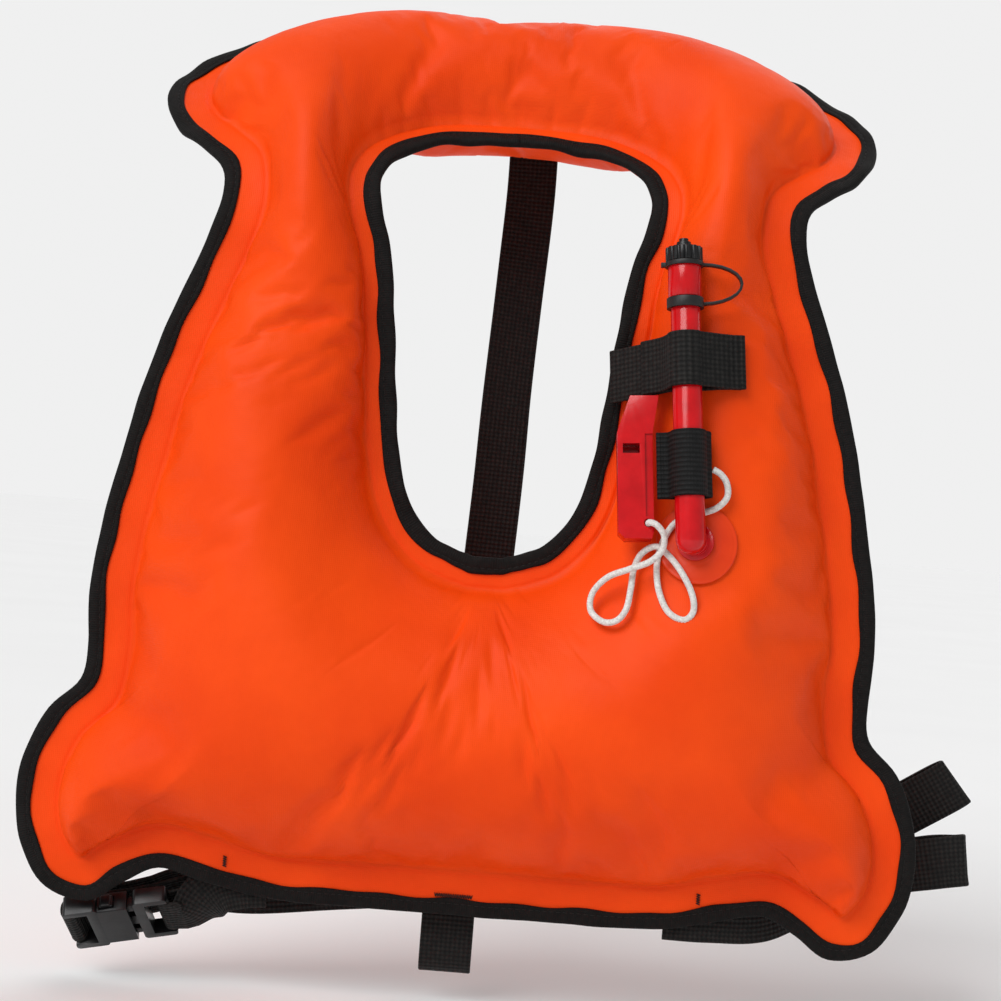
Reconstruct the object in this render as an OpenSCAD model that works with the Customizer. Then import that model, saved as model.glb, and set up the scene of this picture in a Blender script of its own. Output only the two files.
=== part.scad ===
/* [Vest] */
// Width across the two lower lobes
vest_w = 420; // [330:5:520]
// Height of the outline, measured flat along the fabric
vest_l = 486; // [390:5:600]
// Half of the inflated thickness in the middle of the chest
chest_half = 48; // [38:1:60]
// How far the collar leans back from the chest, in degrees
collar_tilt = 49; // [35:1:60]
// Length of fabric over which the collar bends back
bend_l = 50; // [40:1:70]

/* [Fabric] */
// Thickness of one coated fabric panel
wall = 0.8; // [0.6:0.05:1.2]
// Width of the flat seam between the outer edge and the air chamber
outer_seam = 20; // [17:0.5:24]
// Width of the flat seam between the neck edge and the air chamber
neck_seam = 14; // [12.5:0.5:16]
// Visible width of the folded edge tape
tape_w = 6.5; // [6:0.5:10]
// Thickness of the edge tape
tape_t = 0.9; // [0.6:0.1:1.4]

/* [Webbing and buckle] */
// Width of the belt, back strap and tube band webbing
webbing_w = 25; // [20:1:30]
// Thickness of the webbing
webbing_t = 1.5; // [1.2:0.1:2]
// Length of the buckle socket
socket_l = 30; // [25:1:38]
// Thickness of the buckle
buckle_t = 10; // [9:0.5:14]

/* [Inflation tube] */
// Outer diameter of the tube
tube_d = 13.4; // [11:0.1:16]
// Bore of the tube
tube_bore_d = 9.4; // [7:0.1:10]
// Height of the tube above its elbow
tube_l = 118; // [100:1:140]
// Diameter of the weld flange
flange_d = 17; // [15:0.5:24]
// Diameter of the round weld patch around the flange
patch_d = 36; // [28:1:44]
// Travel of the mouthpiece when it is pressed
press_l = 3; // [2:0.5:4]
// Diameter of the knurled lock ring
lock_ring_d = 16.8; // [16.4:0.1:20]
// Width of the elastic loop that holds the tube
elastic_w = 30; // [20:1:34]

/* [Whistle] */
// Length of the whistle's body below the mouthpiece
whistle_body_l = 48; // [40:1:55]
// Width of the whistle's body
whistle_w = 16; // [14:0.5:20]
// Thickness of the whistle from front to back
whistle_t = 11; // [10:0.5:15]
// Diameter of the whistle's cord
cord_d = 2.8; // [2:0.1:3.4]

/* [Hidden] */

// Running and seating gaps
run_gap = 0.05;
seat_gap = 0.3;
soft_gap = 0.5;
weld_gap = 0.1;

// The flat pattern, right half, from the collar's middle down to the hem:
// [neck edge x, neck edge height, outer edge x, outer edge height].
pattern_w = 420;
pattern_l = 486;
STATIONS = [
  [0, 36, 0, 142], [14, 36, 36, 142], [27, 35, 72, 140], [39, 32, 104, 132],
  [48, 27, 130, 116], [55, 21, 152, 97], [60, 15, 166, 78], [63, 9, 172, 60],
  [65, 3, 170, 43], [65, -3, 161, 26], [64, -9, 148, 13], [62, -18, 138, 2],
  [59, -27, 136, -12], [57, -36, 141, -32], [55, -48, 150, -56], [54, -60, 159, -81],
  [52, -74, 167, -108], [51, -90, 172, -132], [49, -104, 177, -155],
  [48, -117, 181, -178], [46, -127, 183, -202], [44, -136, 182, -226],
  [42, -143, 184, -244], [39, -150, 198, -259], [36, -155, 207, -279],
  [32, -160, 210, -300], [28, -164, 206, -322], [24, -167, 193, -341],
  [19, -169, 174, -346], [14, -171, 158, -336], [10, -172, 142, -328],
  [7, -173, 122, -332], [4, -173, 92, -338], [2, -173, 46, -339], [0, -173, 0, -339]];
x_scale = vest_w / pattern_w;
s_scale = vest_l / pattern_l;

// The collar bends back over this arc of the mid surface
bend_start = -25;
bend_r = bend_l / (collar_tilt * PI / 180);

function clamp(v, lo, hi) = min(max(v, lo), hi);
function bend_angle(s) = clamp((s - bend_start) / bend_l, 0, 1) * collar_tilt;
// A point of the pattern [x, s] placed in space, lifted h towards the front
function place(p, h) =
  let (a = bend_angle(p[1]),
       over = max(p[1] - bend_start - bend_l, 0),
       under = min(p[1] - bend_start, 0))
  [p[0],
   bend_r * (1 - cos(a)) + over * sin(collar_tilt) - h * cos(a),
   bend_start + bend_r * sin(a) + over * cos(collar_tilt) + under + h * sin(a)];

// A smooth curve through a row of points, steps points for each span
function spline_point(a, b, c, d, t) =
  0.5 * (2 * b + (c - a) * t + (2 * a - 5 * b + 4 * c - d) * t * t
         + (3 * b - a - 3 * c + d) * t * t * t);
function smooth_row(pts, steps) =
  let (n = len(pts))
  [for (i = [0 : n - 2]) for (k = [0 : i == n - 2 ? steps : steps - 1])
    spline_point(pts[max(i - 1, 0)], pts[i], pts[i + 1], pts[min(i + 2, n - 1)],
                 k / steps)];

// Both edges as closed loops: down the right side, up the left
half_n = len(STATIONS);
function right_edge(c) = [for (r = STATIONS) [r[c] * x_scale, r[c + 1] * s_scale]];
function whole_edge(c) =
  let (r = right_edge(c))
  concat(r, [for (i = [half_n - 2 : -1 : 1]) [-r[i][0], r[i][1]]]);
neck_edge = whole_edge(0);
outer_edge = whole_edge(2);
loop_n = len(neck_edge);
function unit(v) = v / max(norm(v), 0.000001);
// The pattern point that lies d inside a loop's edge; side is 1 or -1
function inset(edge, i, d, side) =
  let (t = unit(edge[(i + 1) % loop_n] - edge[(i + loop_n - 1) % loop_n]))
  edge[i] + side * d * [t[1], -t[0]];
neck_weld = [for (i = [0 : loop_n - 1]) inset(neck_edge, i, neck_seam, -1)];
outer_weld = [for (i = [0 : loop_n - 1]) inset(outer_edge, i, outer_seam, 1)];

// Closeness of a point to a weld line, summed exactly along its segments
function segment_pull(p, a, b) =
  let (u = unit(b - a),
       s1 = (a - p) * u,
       s2 = (b - p) * u,
       d2 = max((a - p) * (a - p) - s1 * s1, 0.01))
  (s2 / sqrt(s2 * s2 + d2) - s1 / sqrt(s1 * s1 + d2)) / d2;
function loop_pull(p, w, i = 0, total = 0) =
  i == loop_n ? total
  : loop_pull(p, w, i + 1, total + segment_pull(p, w[i], w[(i + 1) % loop_n]));
function reach(p) = sqrt(2 / (loop_pull(p, neck_weld) + loop_pull(p, outer_weld)));
chest_point = [0, -250 * s_scale];
chest_reach = reach(chest_point);
puff_power = 0.55;
// Half thickness of the air chamber over a point of the pattern
function puff(p) = chest_half * pow(reach(p) / chest_reach, puff_power);
// Where the front panel's outside lies, at [x, z] below the collar
function front_y(x, z) = -(weld_gap / 2 + wall + puff([x, z]));

// ---- Panels -----------------------------------------------------------------
// Rows from the neck out: edge, tape's inner side, weld, chamber, weld, tape, edge
chamber_rows = 7;
row_n = chamber_rows + 5;
function row_share(m) = (1 - cos(180 * m / chamber_rows)) / 2;
function grid_point(i, m) =
  m == 0 ? neck_edge[i]
  : m == 1 ? inset(neck_edge, i, tape_w, -1)
  : m == row_n - 2 ? inset(outer_edge, i, tape_w, 1)
  : m == row_n - 1 ? outer_edge[i]
  : let (f = row_share(m - 2)) neck_weld[i] * (1 - f) + outer_weld[i] * f;
function grid_puff(i, m) = m < 3 || m > row_n - 4 ? 0 : puff(grid_point(i, m));
puff_grid = [for (i = [0 : loop_n - 1]) [for (m = [0 : row_n - 1]) grid_puff(i, m)]];
// One closed sheet: side is 1 for the front panel and -1 for the back one
module panel(side) {
  skin = [for (lift = [weld_gap / 2, weld_gap / 2 + wall])
    for (i = [0 : loop_n - 1]) for (m = [0 : row_n - 1])
      place(grid_point(i, m), side * (lift + puff_grid[i][m]))];
  sheet_n = loop_n * row_n;
  function at(layer, i, m) = layer * sheet_n + (i % loop_n) * row_n + m;
  faces = concat(
    [for (i = [0 : loop_n - 1]) for (m = [0 : row_n - 2])
      for (f = [[at(1, i, m), at(1, i + 1, m), at(1, i + 1, m + 1)],
                [at(1, i, m), at(1, i + 1, m + 1), at(1, i, m + 1)]]) f],
    [for (i = [0 : loop_n - 1]) for (m = [0 : row_n - 2])
      for (f = [[at(0, i, m), at(0, i + 1, m + 1), at(0, i + 1, m)],
                [at(0, i, m), at(0, i, m + 1), at(0, i + 1, m + 1)]]) f],
    [for (i = [0 : loop_n - 1]) for (m = [0, row_n - 1])
      let (a = at(0, i, m), b = at(0, i + 1, m), c = at(1, i + 1, m), d = at(1, i, m))
      for (f = m == 0 ? [[a, b, c], [a, c, d]] : [[a, c, b], [a, d, c]]) f]);
  polyhedron(skin, side > 0 ? faces : [for (f = faces) [f[0], f[2], f[1]]]);
}
module front_panel() { color("#f04b0f") panel(1); }
module back_panel() { color("#e8430c") panel(-1); }

// ---- Folded edge tape -------------------------------------------------------
tape_gap = 0.25;
tape_in = weld_gap / 2 + wall + tape_gap;
tape_out = tape_in + tape_t;
tape_round = 0.6;
// Section around the panels' edge: [distance inside the edge, height]
TAPE = [[-tape_gap - tape_t, -tape_out + tape_round],
        [-tape_gap - tape_t, tape_out - tape_round],
        [-tape_gap - tape_t + tape_round, tape_out], [tape_w, tape_out],
        [tape_w, tape_in], [-tape_gap, tape_in], [-tape_gap, -tape_in],
        [tape_w, -tape_in], [tape_w, -tape_out],
        [-tape_gap - tape_t + tape_round, -tape_out]];
module tape_loop(edge, side) {
  k = len(TAPE);
  // this quad is split the other way, as the panel under it is
  turned = side > 0 ? 6 : 4;
  pts = [for (i = [0 : loop_n - 1]) for (q = TAPE)
    place(inset(edge, i, q[0], side), q[1])];
  faces = [for (i = [0 : loop_n - 1]) for (j = [0 : k - 1])
    let (a = i * k + j, b = i * k + (j + 1) % k,
         c = ((i + 1) % loop_n) * k + (j + 1) % k, d = ((i + 1) % loop_n) * k + j)
    for (f = j == turned ? [[a, b, d], [b, c, d]] : [[a, b, c], [a, c, d]])
      side > 0 ? [f[0], f[2], f[1]] : f];
  polyhedron(pts, faces);
}
module outer_binding() { color("#16130f") tape_loop(outer_edge, 1); }
module neck_binding() { color("#16130f") tape_loop(neck_edge, -1); }

// ---- Stitched bars on the hem -----------------------------------------------
tack_t = 0.7;
tack_w = 1.8;
side_tack_l = 5;
side_tack_x = 111 * x_scale;
middle_tack_l = 18;
side_hem_s = -333 * s_scale;
middle_hem_s = -339 * s_scale;
tack_rise = tape_w + 0.6;
module tack(x, hem, size_x, size_z) {
  translate([x - size_x / 2, -tape_in - tack_t, hem + tack_rise])
    cube([size_x, tack_t, size_z]);
}
module bar_tacks() {
  color("#141210") {
    for (side = [-1, 1]) tack(side * side_tack_x, side_hem_s, tack_w, side_tack_l);
    tack(-3, middle_hem_s, middle_tack_l, tack_w);
  }
}

// ---- Webbing ----------------------------------------------------------------
// A closed strip along rows of six numbers: a middle point and the width's direction
module webbing(rows, w, t) {
  n = len(rows);
  mid = [for (r = rows) [r[0], r[1], r[2]]];
  pts = [for (i = [0 : n - 1])
    let (run = unit(mid[min(i + 1, n - 1)] - mid[max(i - 1, 0)]),
         across = [rows[i][3], rows[i][4], rows[i][5]],
         side = unit(across - (across * run) * run),
         up = cross(run, side))
    for (q = [[-1, -1], [1, -1], [1, 1], [-1, 1]])
      mid[i] + side * (q[0] * w / 2) + up * (q[1] * t / 2)];
  last = 4 * (n - 1);
  faces = concat(
    [[0, 1, 2], [0, 2, 3]],
    [for (i = [0 : n - 2]) for (j = [0 : 3])
      let (a = 4 * i + j, b = 4 * i + (j + 1) % 4)
      for (f = [[a, a + 4, b + 4], [a, b + 4, b]]) f],
    [[last, last + 2, last + 1], [last, last + 3, last + 2]]);
  polyhedron(pts, faces);
}
// Hand-laid route points [x, y, z, turn]; turn tips an upright width towards +X
function laid(route) = [for (r = route)
  [r[0] * x_scale, r[1], r[2] * s_scale, sin(r[3]), 0, cos(r[3])]];
black_web = "#16130f";

// The buckle's own frame: x from the socket's bar to the plug, y its thickness,
// z its width
buckle_pos = [-184 * x_scale, 17, -362 * s_scale];
buckle_turn = -12;
buckle_roll = 50;
function turned_x(p, a) =
  [p[0], p[1] * cos(a) - p[2] * sin(a), p[1] * sin(a) + p[2] * cos(a)];
function turned_y(p, a) =
  [p[0] * cos(a) + p[2] * sin(a), p[1], p[2] * cos(a) - p[0] * sin(a)];
function buckle_dir(p) = turned_y(turned_x(p, buckle_roll), buckle_turn);
function wrapped(pairs) = [for (q = pairs)
  concat(buckle_pos + buckle_dir([q[0], q[1], 0]), buckle_dir([0, 0, 1]))];
module buckle_frame() {
  translate(buckle_pos) rotate([0, buckle_turn, 0]) rotate([buckle_roll, 0, 0])
    children();
}
bar_r = 2;
slot_l = 7;
frame_l = slot_l + 2 * bar_r;
plug_bar_x = socket_l + 17;
bar_wrap = bar_r + seat_gap + webbing_t / 2 + 0.1;
function bar_turn(x, a0, a1) =
  [for (k = [0 : 4]) let (a = a0 + (a1 - a0) * k / 4) [x + bar_wrap * cos(a), bar_wrap * sin(a)]];
behind = buckle_t / 2 + seat_gap + webbing_t / 2;

// The belt: sewn behind the hem at the right, two bights beside the right lobe,
// through the back strap's end loop, round the socket's bar and back again
BELT_OUT = [
  [96, 3.6, -332, 0], [118, 4.4, -332, 0], [146, 14, -331, 0], [176, 36, -320, -4],
  [205, 38, -309, -8], [228, 33, -303, -8], [240, 34, -301, -8], [243, 38, -301, -8],
  [240, 42, -302, -8], [226, 45, -304, -8], [200, 46, -311, -8], [165, 40, -324, -4],
  [125, 31, -331, 0], [70, 27, -330, 0], [-5, 24, -329, 0], [-55, 25, -334, 0],
  [-96, 33, -341, -6]];
BELT_BACK = [
  [-96, 38, -341, -6], [-55, 30, -334, 0], [-5, 29, -329, 0],
  [70, 32, -329, 0], [125, 36, -328, 0], [158, 47, -318, -14], [190, 54, -297, -34],
  [215, 53, -281, -40], [233, 51, -269, -41], [239, 54, -265, -41],
  [233, 58, -269, -41], [212, 60, -283, -40], [186, 61, -299, -34], [165, 60, -311, -20]];
belt_rows = smooth_row(concat(laid(BELT_OUT),
  wrapped(concat([[plug_bar_x + 8, behind + 4], [plug_bar_x - 8, behind + 1.5],
                  [20, behind + 1], [frame_l + 1, behind + 0.6], [frame_l - 2.5, 5],
                  [bar_r + 4, 2.4]], bar_turn(bar_r, 0, -180),
                 [[-0.4, 4.5], [4, behind + 1.5], [20, behind + 4],
                  [plug_bar_x - 8, behind + 6], [plug_bar_x + 8, behind + 9]])),
  laid(BELT_BACK)), 2);
module waist_belt() { color(black_web) webbing(belt_rows, webbing_w, webbing_t); }

// The short strap from the hem's left tack to the plug's bar
BUCKLE_STRAP = [[-92, 3.6, -332, 0], [-105, 4.6, -334, -6], [-116, 8, -339, -10]];
module buckle_strap() {
  rows = smooth_row(concat(laid(BUCKLE_STRAP),
    wrapped(concat([[plug_bar_x + 10, -bar_wrap - 0.2], [plug_bar_x + 4, -bar_wrap - 0.2]],
                   bar_turn(plug_bar_x, -90, -270),
                   [[plug_bar_x + 5, bar_wrap + 0.2], [plug_bar_x + 18, bar_wrap + 1.5]]))), 2);
  color(black_web) webbing(rows, webbing_w, webbing_t);
}

// The back strap: sewn to the back of the collar, down to the belt; its lower part
// stands off as far as a deeper or flatter chest needs
usual_chest = 48;
usual_webbing = 25;
web_extra = (webbing_w - usual_webbing) / 2;
STRAP = [
  [8, 111, 94, 0], [8, 105.5, 87.5, 0], [8, 106, 77, 0], [8, 109, 64, 0], [7, 109, 44, 0],
  [7, 104, 10, 0], [5, 97, -40, 12], [3, 88, -90, 12], [2, 80, -135, 0],
  [0, 71, -185, 0], [-2, 62, -235, 0], [-4, 53, -282, 0]];
function strap_y(r) = r[1] + (r[2] < 0 ? chest_half - usual_chest : 0);
// Its end loop round the belt, with heights from the belt's middle
belt_middle = -330 * s_scale;
STRAP_LOOP = [
  [-5, 44, 12], [-5, 39, -10], [-5, 36, -30], [-5, 33, -38], [-5, 27, -42],
  [-5, 20, -38], [-5, 16, -26], [-5, 16, -4], [-5, 20, 12], [-5, 33, 22], [-4.5, 43, 30]];
module back_strap() {
  rows = smooth_row(concat(
    [for (r = STRAP)
      [r[0] * x_scale, strap_y(r), r[2] * s_scale, cos(r[3]), sin(r[3]), 0]],
    [for (r = STRAP_LOOP)
      [r[0] * x_scale, r[1], belt_middle + r[2] + sign(r[2]) * web_extra, 1, 0, 0]]), 2);
  color(black_web) webbing(rows, webbing_w, webbing_t);
}

// ---- Buckle -----------------------------------------------------------------
buckle_w = webbing_w + 8;
mouth_w = webbing_w + 4;
cavity_w = mouth_w - 4;
cavity_t = buckle_t - 3.6;
cavity_x = frame_l + 3;
block_l = cavity_x + 2;
ring_l = 6;
prong_gap = 0.3;
arm_w = 4;
arm_t = cavity_t - 2 * prong_gap;
plug_x = socket_l + 3;
corner_r = 2;
// A plate with round corners, x from 0, centred on y and z
module plate(l, t, w, r) {
  rotate([90, 0, 0]) linear_extrude(t, center = true) union() {
    translate([r, -w / 2]) square([l - 2 * r, w]);
    translate([0, -w / 2 + r]) square([l, w - 2 * r]);
    for (x = [r, l - r]) for (z = [r - w / 2, w / 2 - r])
      translate([x, z]) circle(r, $fn = 32);
  }
}
module centred_box(x0, x1, t, w) {
  translate([x0, -t / 2, -w / 2]) cube([x1 - x0, t, w]);
}
module cross_bar(x, w) {
  translate([x, 0, -w / 2]) cylinder(w, bar_r, bar_r, $fn = 48);
}
module buckle_socket() {
  color("#131313") buckle_frame() {
    difference() {
      union() {
        plate(block_l, buckle_t, buckle_w, corner_r);
        centred_box(block_l - 1, socket_l, buckle_t, mouth_w);
      }
      centred_box(-1, frame_l, buckle_t + 1, webbing_w + 1);
      centred_box(cavity_x, socket_l + 1, cavity_t, cavity_w);
      centred_box(block_l + 1, socket_l - ring_l, cavity_t, buckle_w + 1);
    }
    cross_bar(bar_r, buckle_w - 2);
  }
}
module buckle_plug() {
  base_l = plug_bar_x + bar_r - plug_x;
  color("#151515") buckle_frame() {
    difference() {
      union() {
        translate([plug_x, 0, 0]) plate(base_l, buckle_t - 2, buckle_w, corner_r);
        centred_box(cavity_x + 2, plug_x + 1, arm_t, 7);
      }
      centred_box(plug_x + 5, plug_x + base_l + 1, buckle_t, webbing_w + 1);
    }
    cross_bar(plug_bar_x, buckle_w - 2);
  }
}
pad_l = socket_l - ring_l - block_l - 1 - 2 * prong_gap;
pad_out = buckle_w / 2 + 0.5;
module prong() {
  inner = cavity_w / 2 - prong_gap;
  pad_x = block_l + 1 + prong_gap;
  rotate([90, 0, 0]) linear_extrude(arm_t, center = true) union() {
    translate([cavity_x + 1, inner - arm_w])
      square([plug_x - cavity_x - 1 - prong_gap, arm_w]);
    translate([pad_x, inner - 1]) square([pad_l, pad_out - inner]);
    translate([pad_x + 1, inner - 1]) square([pad_l - 2, pad_out - inner + 1]);
  }
}
module plug_prongs() {
  color("#171717") buckle_frame() {
    prong();
    mirror([0, 0, 1]) prong();
  }
}

// ---- Inflation tube and what it stands on -----------------------------------
// Its own frame: origin on the elbow's axis, z up the tube, -y away from the vest
tube_r = tube_d / 2;
tube_tilt = 5.2;
tube_lean = 8;
tube_foot = [89.5 * x_scale, -155.5 * s_scale];
tube_stand = tube_r + cord_d + 3;
// The chest's height at a place of the tube's frame, measured from its origin plane
function chest_at(x, z) =
  front_y(tube_foot[0] + x * cos(tube_tilt) - z * sin(tube_tilt),
          tube_foot[1] + x * sin(tube_tilt) + z * cos(tube_tilt)) * cos(tube_lean)
  - z * sin(tube_lean);
tube_level = min([for (z = [0 : 10 : tube_l]) chest_at(0, z)]) - tube_stand;
tube_y = tube_level / cos(tube_lean);
function chest_y(x, z) = chest_at(x, z) - tube_level;
module tube_frame() {
  translate([tube_foot[0], tube_y, tube_foot[1]])
    rotate([0, -tube_tilt, 0]) rotate([-tube_lean, 0, 0]) children();
}
spigot_r = 4.5;
flange_t = 1.6;
socket_r = spigot_r + 1.6;
patch_t = 0.5;
flange_r = flange_d / 2;
elbow_turn = 18;
// The elbow points back and to the right, square to the chest there
elbow_reach = tube_stand + 1;
flange_x = elbow_reach * sin(elbow_turn);
flange_y = min([for (a = [0 : 45 : 315])
  (chest_y(flange_x + flange_r * cos(a), flange_r * sin(a))
   + flange_r * cos(a) * sin(elbow_turn)) / cos(elbow_turn)])
  - patch_t - 2 * seat_gap - flange_t;
module turned_to_back(y) {
  rotate([0, 0, -elbow_turn]) translate([0, y, 0]) rotate([-90, 0, 0]) children();
}
module weld_flange() {
  color("#d8241c") tube_frame() difference() {
    union() {
      turned_to_back(flange_y) cylinder(flange_t, flange_r, flange_r, $fn = 72);
      turned_to_back(tube_r - 1) cylinder(flange_y - tube_r + 1.5, socket_r, socket_r,
                                          $fn = 64);
    }
    turned_to_back(0) cylinder(flange_y + flange_t + 1, spigot_r + run_gap,
                               spigot_r + run_gap, $fn = 64);
    cylinder(4 * tube_r, tube_r + run_gap, tube_r + run_gap, center = true, $fn = 72);
  }
}
module inflation_tube() {
  bore_r = tube_bore_d / 2;
  spigot_bore_r = spigot_r - 1.2;
  color("#d01f22") tube_frame() difference() {
    union() {
      cylinder(tube_l, tube_r, tube_r, $fn = 72);
      sphere(tube_r, $fn = 72);
      turned_to_back(0) cylinder(flange_y + flange_t - 0.4, spigot_r, spigot_r, $fn = 64);
    }
    cylinder(tube_l + 1, bore_r, bore_r, $fn = 64);
    turned_to_back(0) cylinder(flange_y + flange_t + 1, spigot_bore_r, spigot_bore_r,
                               $fn = 48);
  }
}
// A thin round sheet that follows the chest under the flange
patch_rings = 3;
patch_sides = 28;
module weld_patch() {
  rim = patch_d / 2;
  hole = spigot_r + 2;
  patch_x = tube_foot[0] + flange_x * cos(tube_tilt);
  patch_z = tube_foot[1] - elbow_reach * sin(tube_lean);
  function spot(r, k, lift) =
    let (a = 360 * k / patch_sides,
         x = patch_x + r * cos(a), z = patch_z + r * sin(a))
    [x, front_y(x, z) - lift, z];
  radii = [for (j = [0 : patch_rings]) hole + (rim - hole) * j / patch_rings];
  layer = (patch_rings + 1) * patch_sides;
  pts = [for (lift = [seat_gap, seat_gap + patch_t]) for (r = radii)
    for (k = [0 : patch_sides - 1]) spot(r, k, lift)];
  function at(l, j, k) = l * layer + j * patch_sides + k % patch_sides;
  faces = concat(
    [for (j = [0 : patch_rings - 1]) for (k = [0 : patch_sides - 1])
      for (f = [[at(1, j, k), at(1, j + 1, k + 1), at(1, j + 1, k)],
                [at(1, j, k), at(1, j, k + 1), at(1, j + 1, k + 1)],
                [at(0, j, k), at(0, j + 1, k), at(0, j + 1, k + 1)],
                [at(0, j, k), at(0, j + 1, k + 1), at(0, j, k + 1)]]) f],
    [for (k = [0 : patch_sides - 1]) for (j = [0, patch_rings])
      let (a = at(0, j, k), b = at(0, j, k + 1), c = at(1, j, k + 1), d = at(1, j, k))
      for (f = j == 0 ? [[a, b, c], [a, c, d]] : [[a, c, b], [a, d, c]]) f]);
  color("#e23d0c") polyhedron(pts, faces);
}

// ---- Mouth valve at the tube's top ------------------------------------------
// Heights along the tube
housing_z = tube_l - 8.4;
housing_top = tube_l + 8;
neck_top = housing_top + 5;
ring_z = housing_top + 0.2;
ring_h = 6.4;
housing_r = tube_r + 0.8;
neck_r = 5.6;
throat_r = 4.3;
seat_r = tube_r - 1.2;
seat_z = tube_l + 0.3;
seat_h = 2;
seat_bore_r = 2.6;
crown_z = seat_z + seat_h + press_l + 1.6;
crown_r = throat_r - 0.08;
crown_gap = 0.8;
shaft_r = 1.6;
disc_h = 1.4;
disc_r = 3.9;
seal_h = 1.2;
disc_z = seat_z - seal_h - disc_h - 0.1;
module ring(z, h, r_out, r_in) {
  translate([0, 0, z]) difference() {
    cylinder(h, r_out, r_out, $fn = 72);
    translate([0, 0, -1]) cylinder(h + 2, r_in, r_in, $fn = 72);
  }
}
module round_bar(z0, z1, r) { translate([0, 0, z0]) cylinder(z1 - z0, r, r, $fn = 64); }
module valve_housing() {
  color("#cf2126") tube_frame() difference() {
    union() {
      round_bar(housing_z, housing_top, housing_r);
      round_bar(housing_top - 0.5, neck_top, neck_r);
    }
    round_bar(housing_z - 1, tube_l + 0.1, tube_r + run_gap);
    round_bar(tube_l, seat_z + seat_h + 0.2, seat_r);
    round_bar(tube_l, neck_top + 1, throat_r);
  }
}
module valve_seat() {
  color("#222222") tube_frame() ring(seat_z, seat_h, seat_r - run_gap, seat_bore_r);
}
module valve_stem() {
  color("#161616") tube_frame() union() {
    difference() {
      round_bar(crown_z, neck_top + 3, crown_r);
      for (a = [0 : 60 : 300]) rotate([0, 0, a]) translate([crown_r, 0, 0])
        round_bar(crown_z - 1, neck_top + 4, 0.8);
    }
    round_bar(neck_top + 2, neck_top + 4.4, 3.2);
    round_bar(neck_top + 4, neck_top + 6, 2.1);
    round_bar(disc_z, crown_z + 1, shaft_r);
    round_bar(disc_z, disc_z + disc_h, disc_r);
  }
}
module stem_seal() {
  color("#2b2b2b") tube_frame() ring(disc_z + disc_h, seal_h, disc_r - 0.1, shaft_r);
}
// A round tube swept along points; the ends are closed
module cord_tube(mid, r, sides) {
  n = len(mid);
  frames = [for (i = [0 : n - 1]) unit(mid[min(i + 1, n - 1)] - mid[max(i - 1, 0)])];
  first = unit(cross(frames[0], abs(frames[0][2]) < 0.9 ? [0, 0, 1] : [1, 0, 0]));
  function carried(side, i) =
    i == n ? []
    : let (s = unit(side - (side * frames[i]) * frames[i])) concat([s], carried(s, i + 1));
  sides_of = carried(first, 0);
  pts = [for (i = [0 : n - 1]) let (u = sides_of[i], v = cross(frames[i], u))
    for (k = [0 : sides - 1])
      mid[i] + r * (u * cos(360 * k / sides) + v * sin(360 * k / sides))];
  faces = concat(
    [[for (k = [0 : sides - 1]) sides - 1 - k]],
    [for (i = [0 : n - 2]) for (k = [0 : sides - 1])
      let (a = i * sides + k, b = i * sides + (k + 1) % sides)
      for (f = [[a, b, b + sides], [a, b + sides, a + sides]]) f],
    [[for (k = [0 : sides - 1]) (n - 1) * sides + k]]);
  // seen from outside, each face runs clockwise
  polyhedron(pts, [for (f = faces) [for (j = [len(f) - 1 : -1 : 0]) f[j]]]);
}
spring_turns = 3;
spring_wire_r = 0.3;
spring_r = 3.4;
module valve_spring() {
  steps = 10;
  low = seat_z + seat_h + spring_wire_r + 0.1;
  high = crown_z - spring_wire_r - 0.1;
  n = spring_turns * steps;
  color("#b8b8b4") tube_frame() cord_tube(
    [for (i = [0 : n]) [spring_r * cos(360 * i / steps), spring_r * sin(360 * i / steps),
                        low + (high - low) * i / n]], spring_wire_r, 6);
}
knurls = 16;
knurl_r = 1;
module lock_ring() {
  lock_r = lock_ring_d / 2;
  color("#121212") tube_frame() translate([0, 0, ring_z]) difference() {
    cylinder(ring_h, lock_r, lock_r, $fn = 72);
    round_bar(-1, neck_top - ring_z + 0.3, neck_r + run_gap);
    round_bar(0, ring_h + 1, crown_r + crown_gap);
    for (k = [0 : knurls - 1]) rotate([0, 0, 360 * k / knurls])
      translate([lock_r + 0.3, 0, 0]) round_bar(-1, ring_h + 1, knurl_r);
  }
}
// Two rings round the housing and the tube, joined by a bent strap on the right
tether_h = 2;
tether_low_h = 4.6;
tether_low = housing_z - tether_low_h - 0.3;
tether_out = 18;
tether_strap_w = 3;
tether_strap_t = 1.2;
module cap_tether() {
  upper_z = housing_top - tether_h - 0.1;
  upper_r = housing_r + 1.2;
  lower_r = tube_r + 1.6;
  low = tether_low + 2;
  rise = upper_z + tether_h / 2 - low;
  bow = [for (a = [90 : -15 : -90])
    [lower_r - 0.5 + tether_out * cos(a), 0, low + rise / 2 * (1 + sin(a)), 0, 1, 0]];
  color("#141414") tube_frame() {
    ring(upper_z, tether_h, upper_r, housing_r + run_gap);
    ring(tether_low, tether_low_h, lower_r, tube_r + run_gap);
    webbing(bow, tether_strap_w, tether_strap_t);
    translate([-upper_r - 1.8, -1.5, upper_z]) cube([2.4, 3, tether_h]);
  }
}

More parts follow.
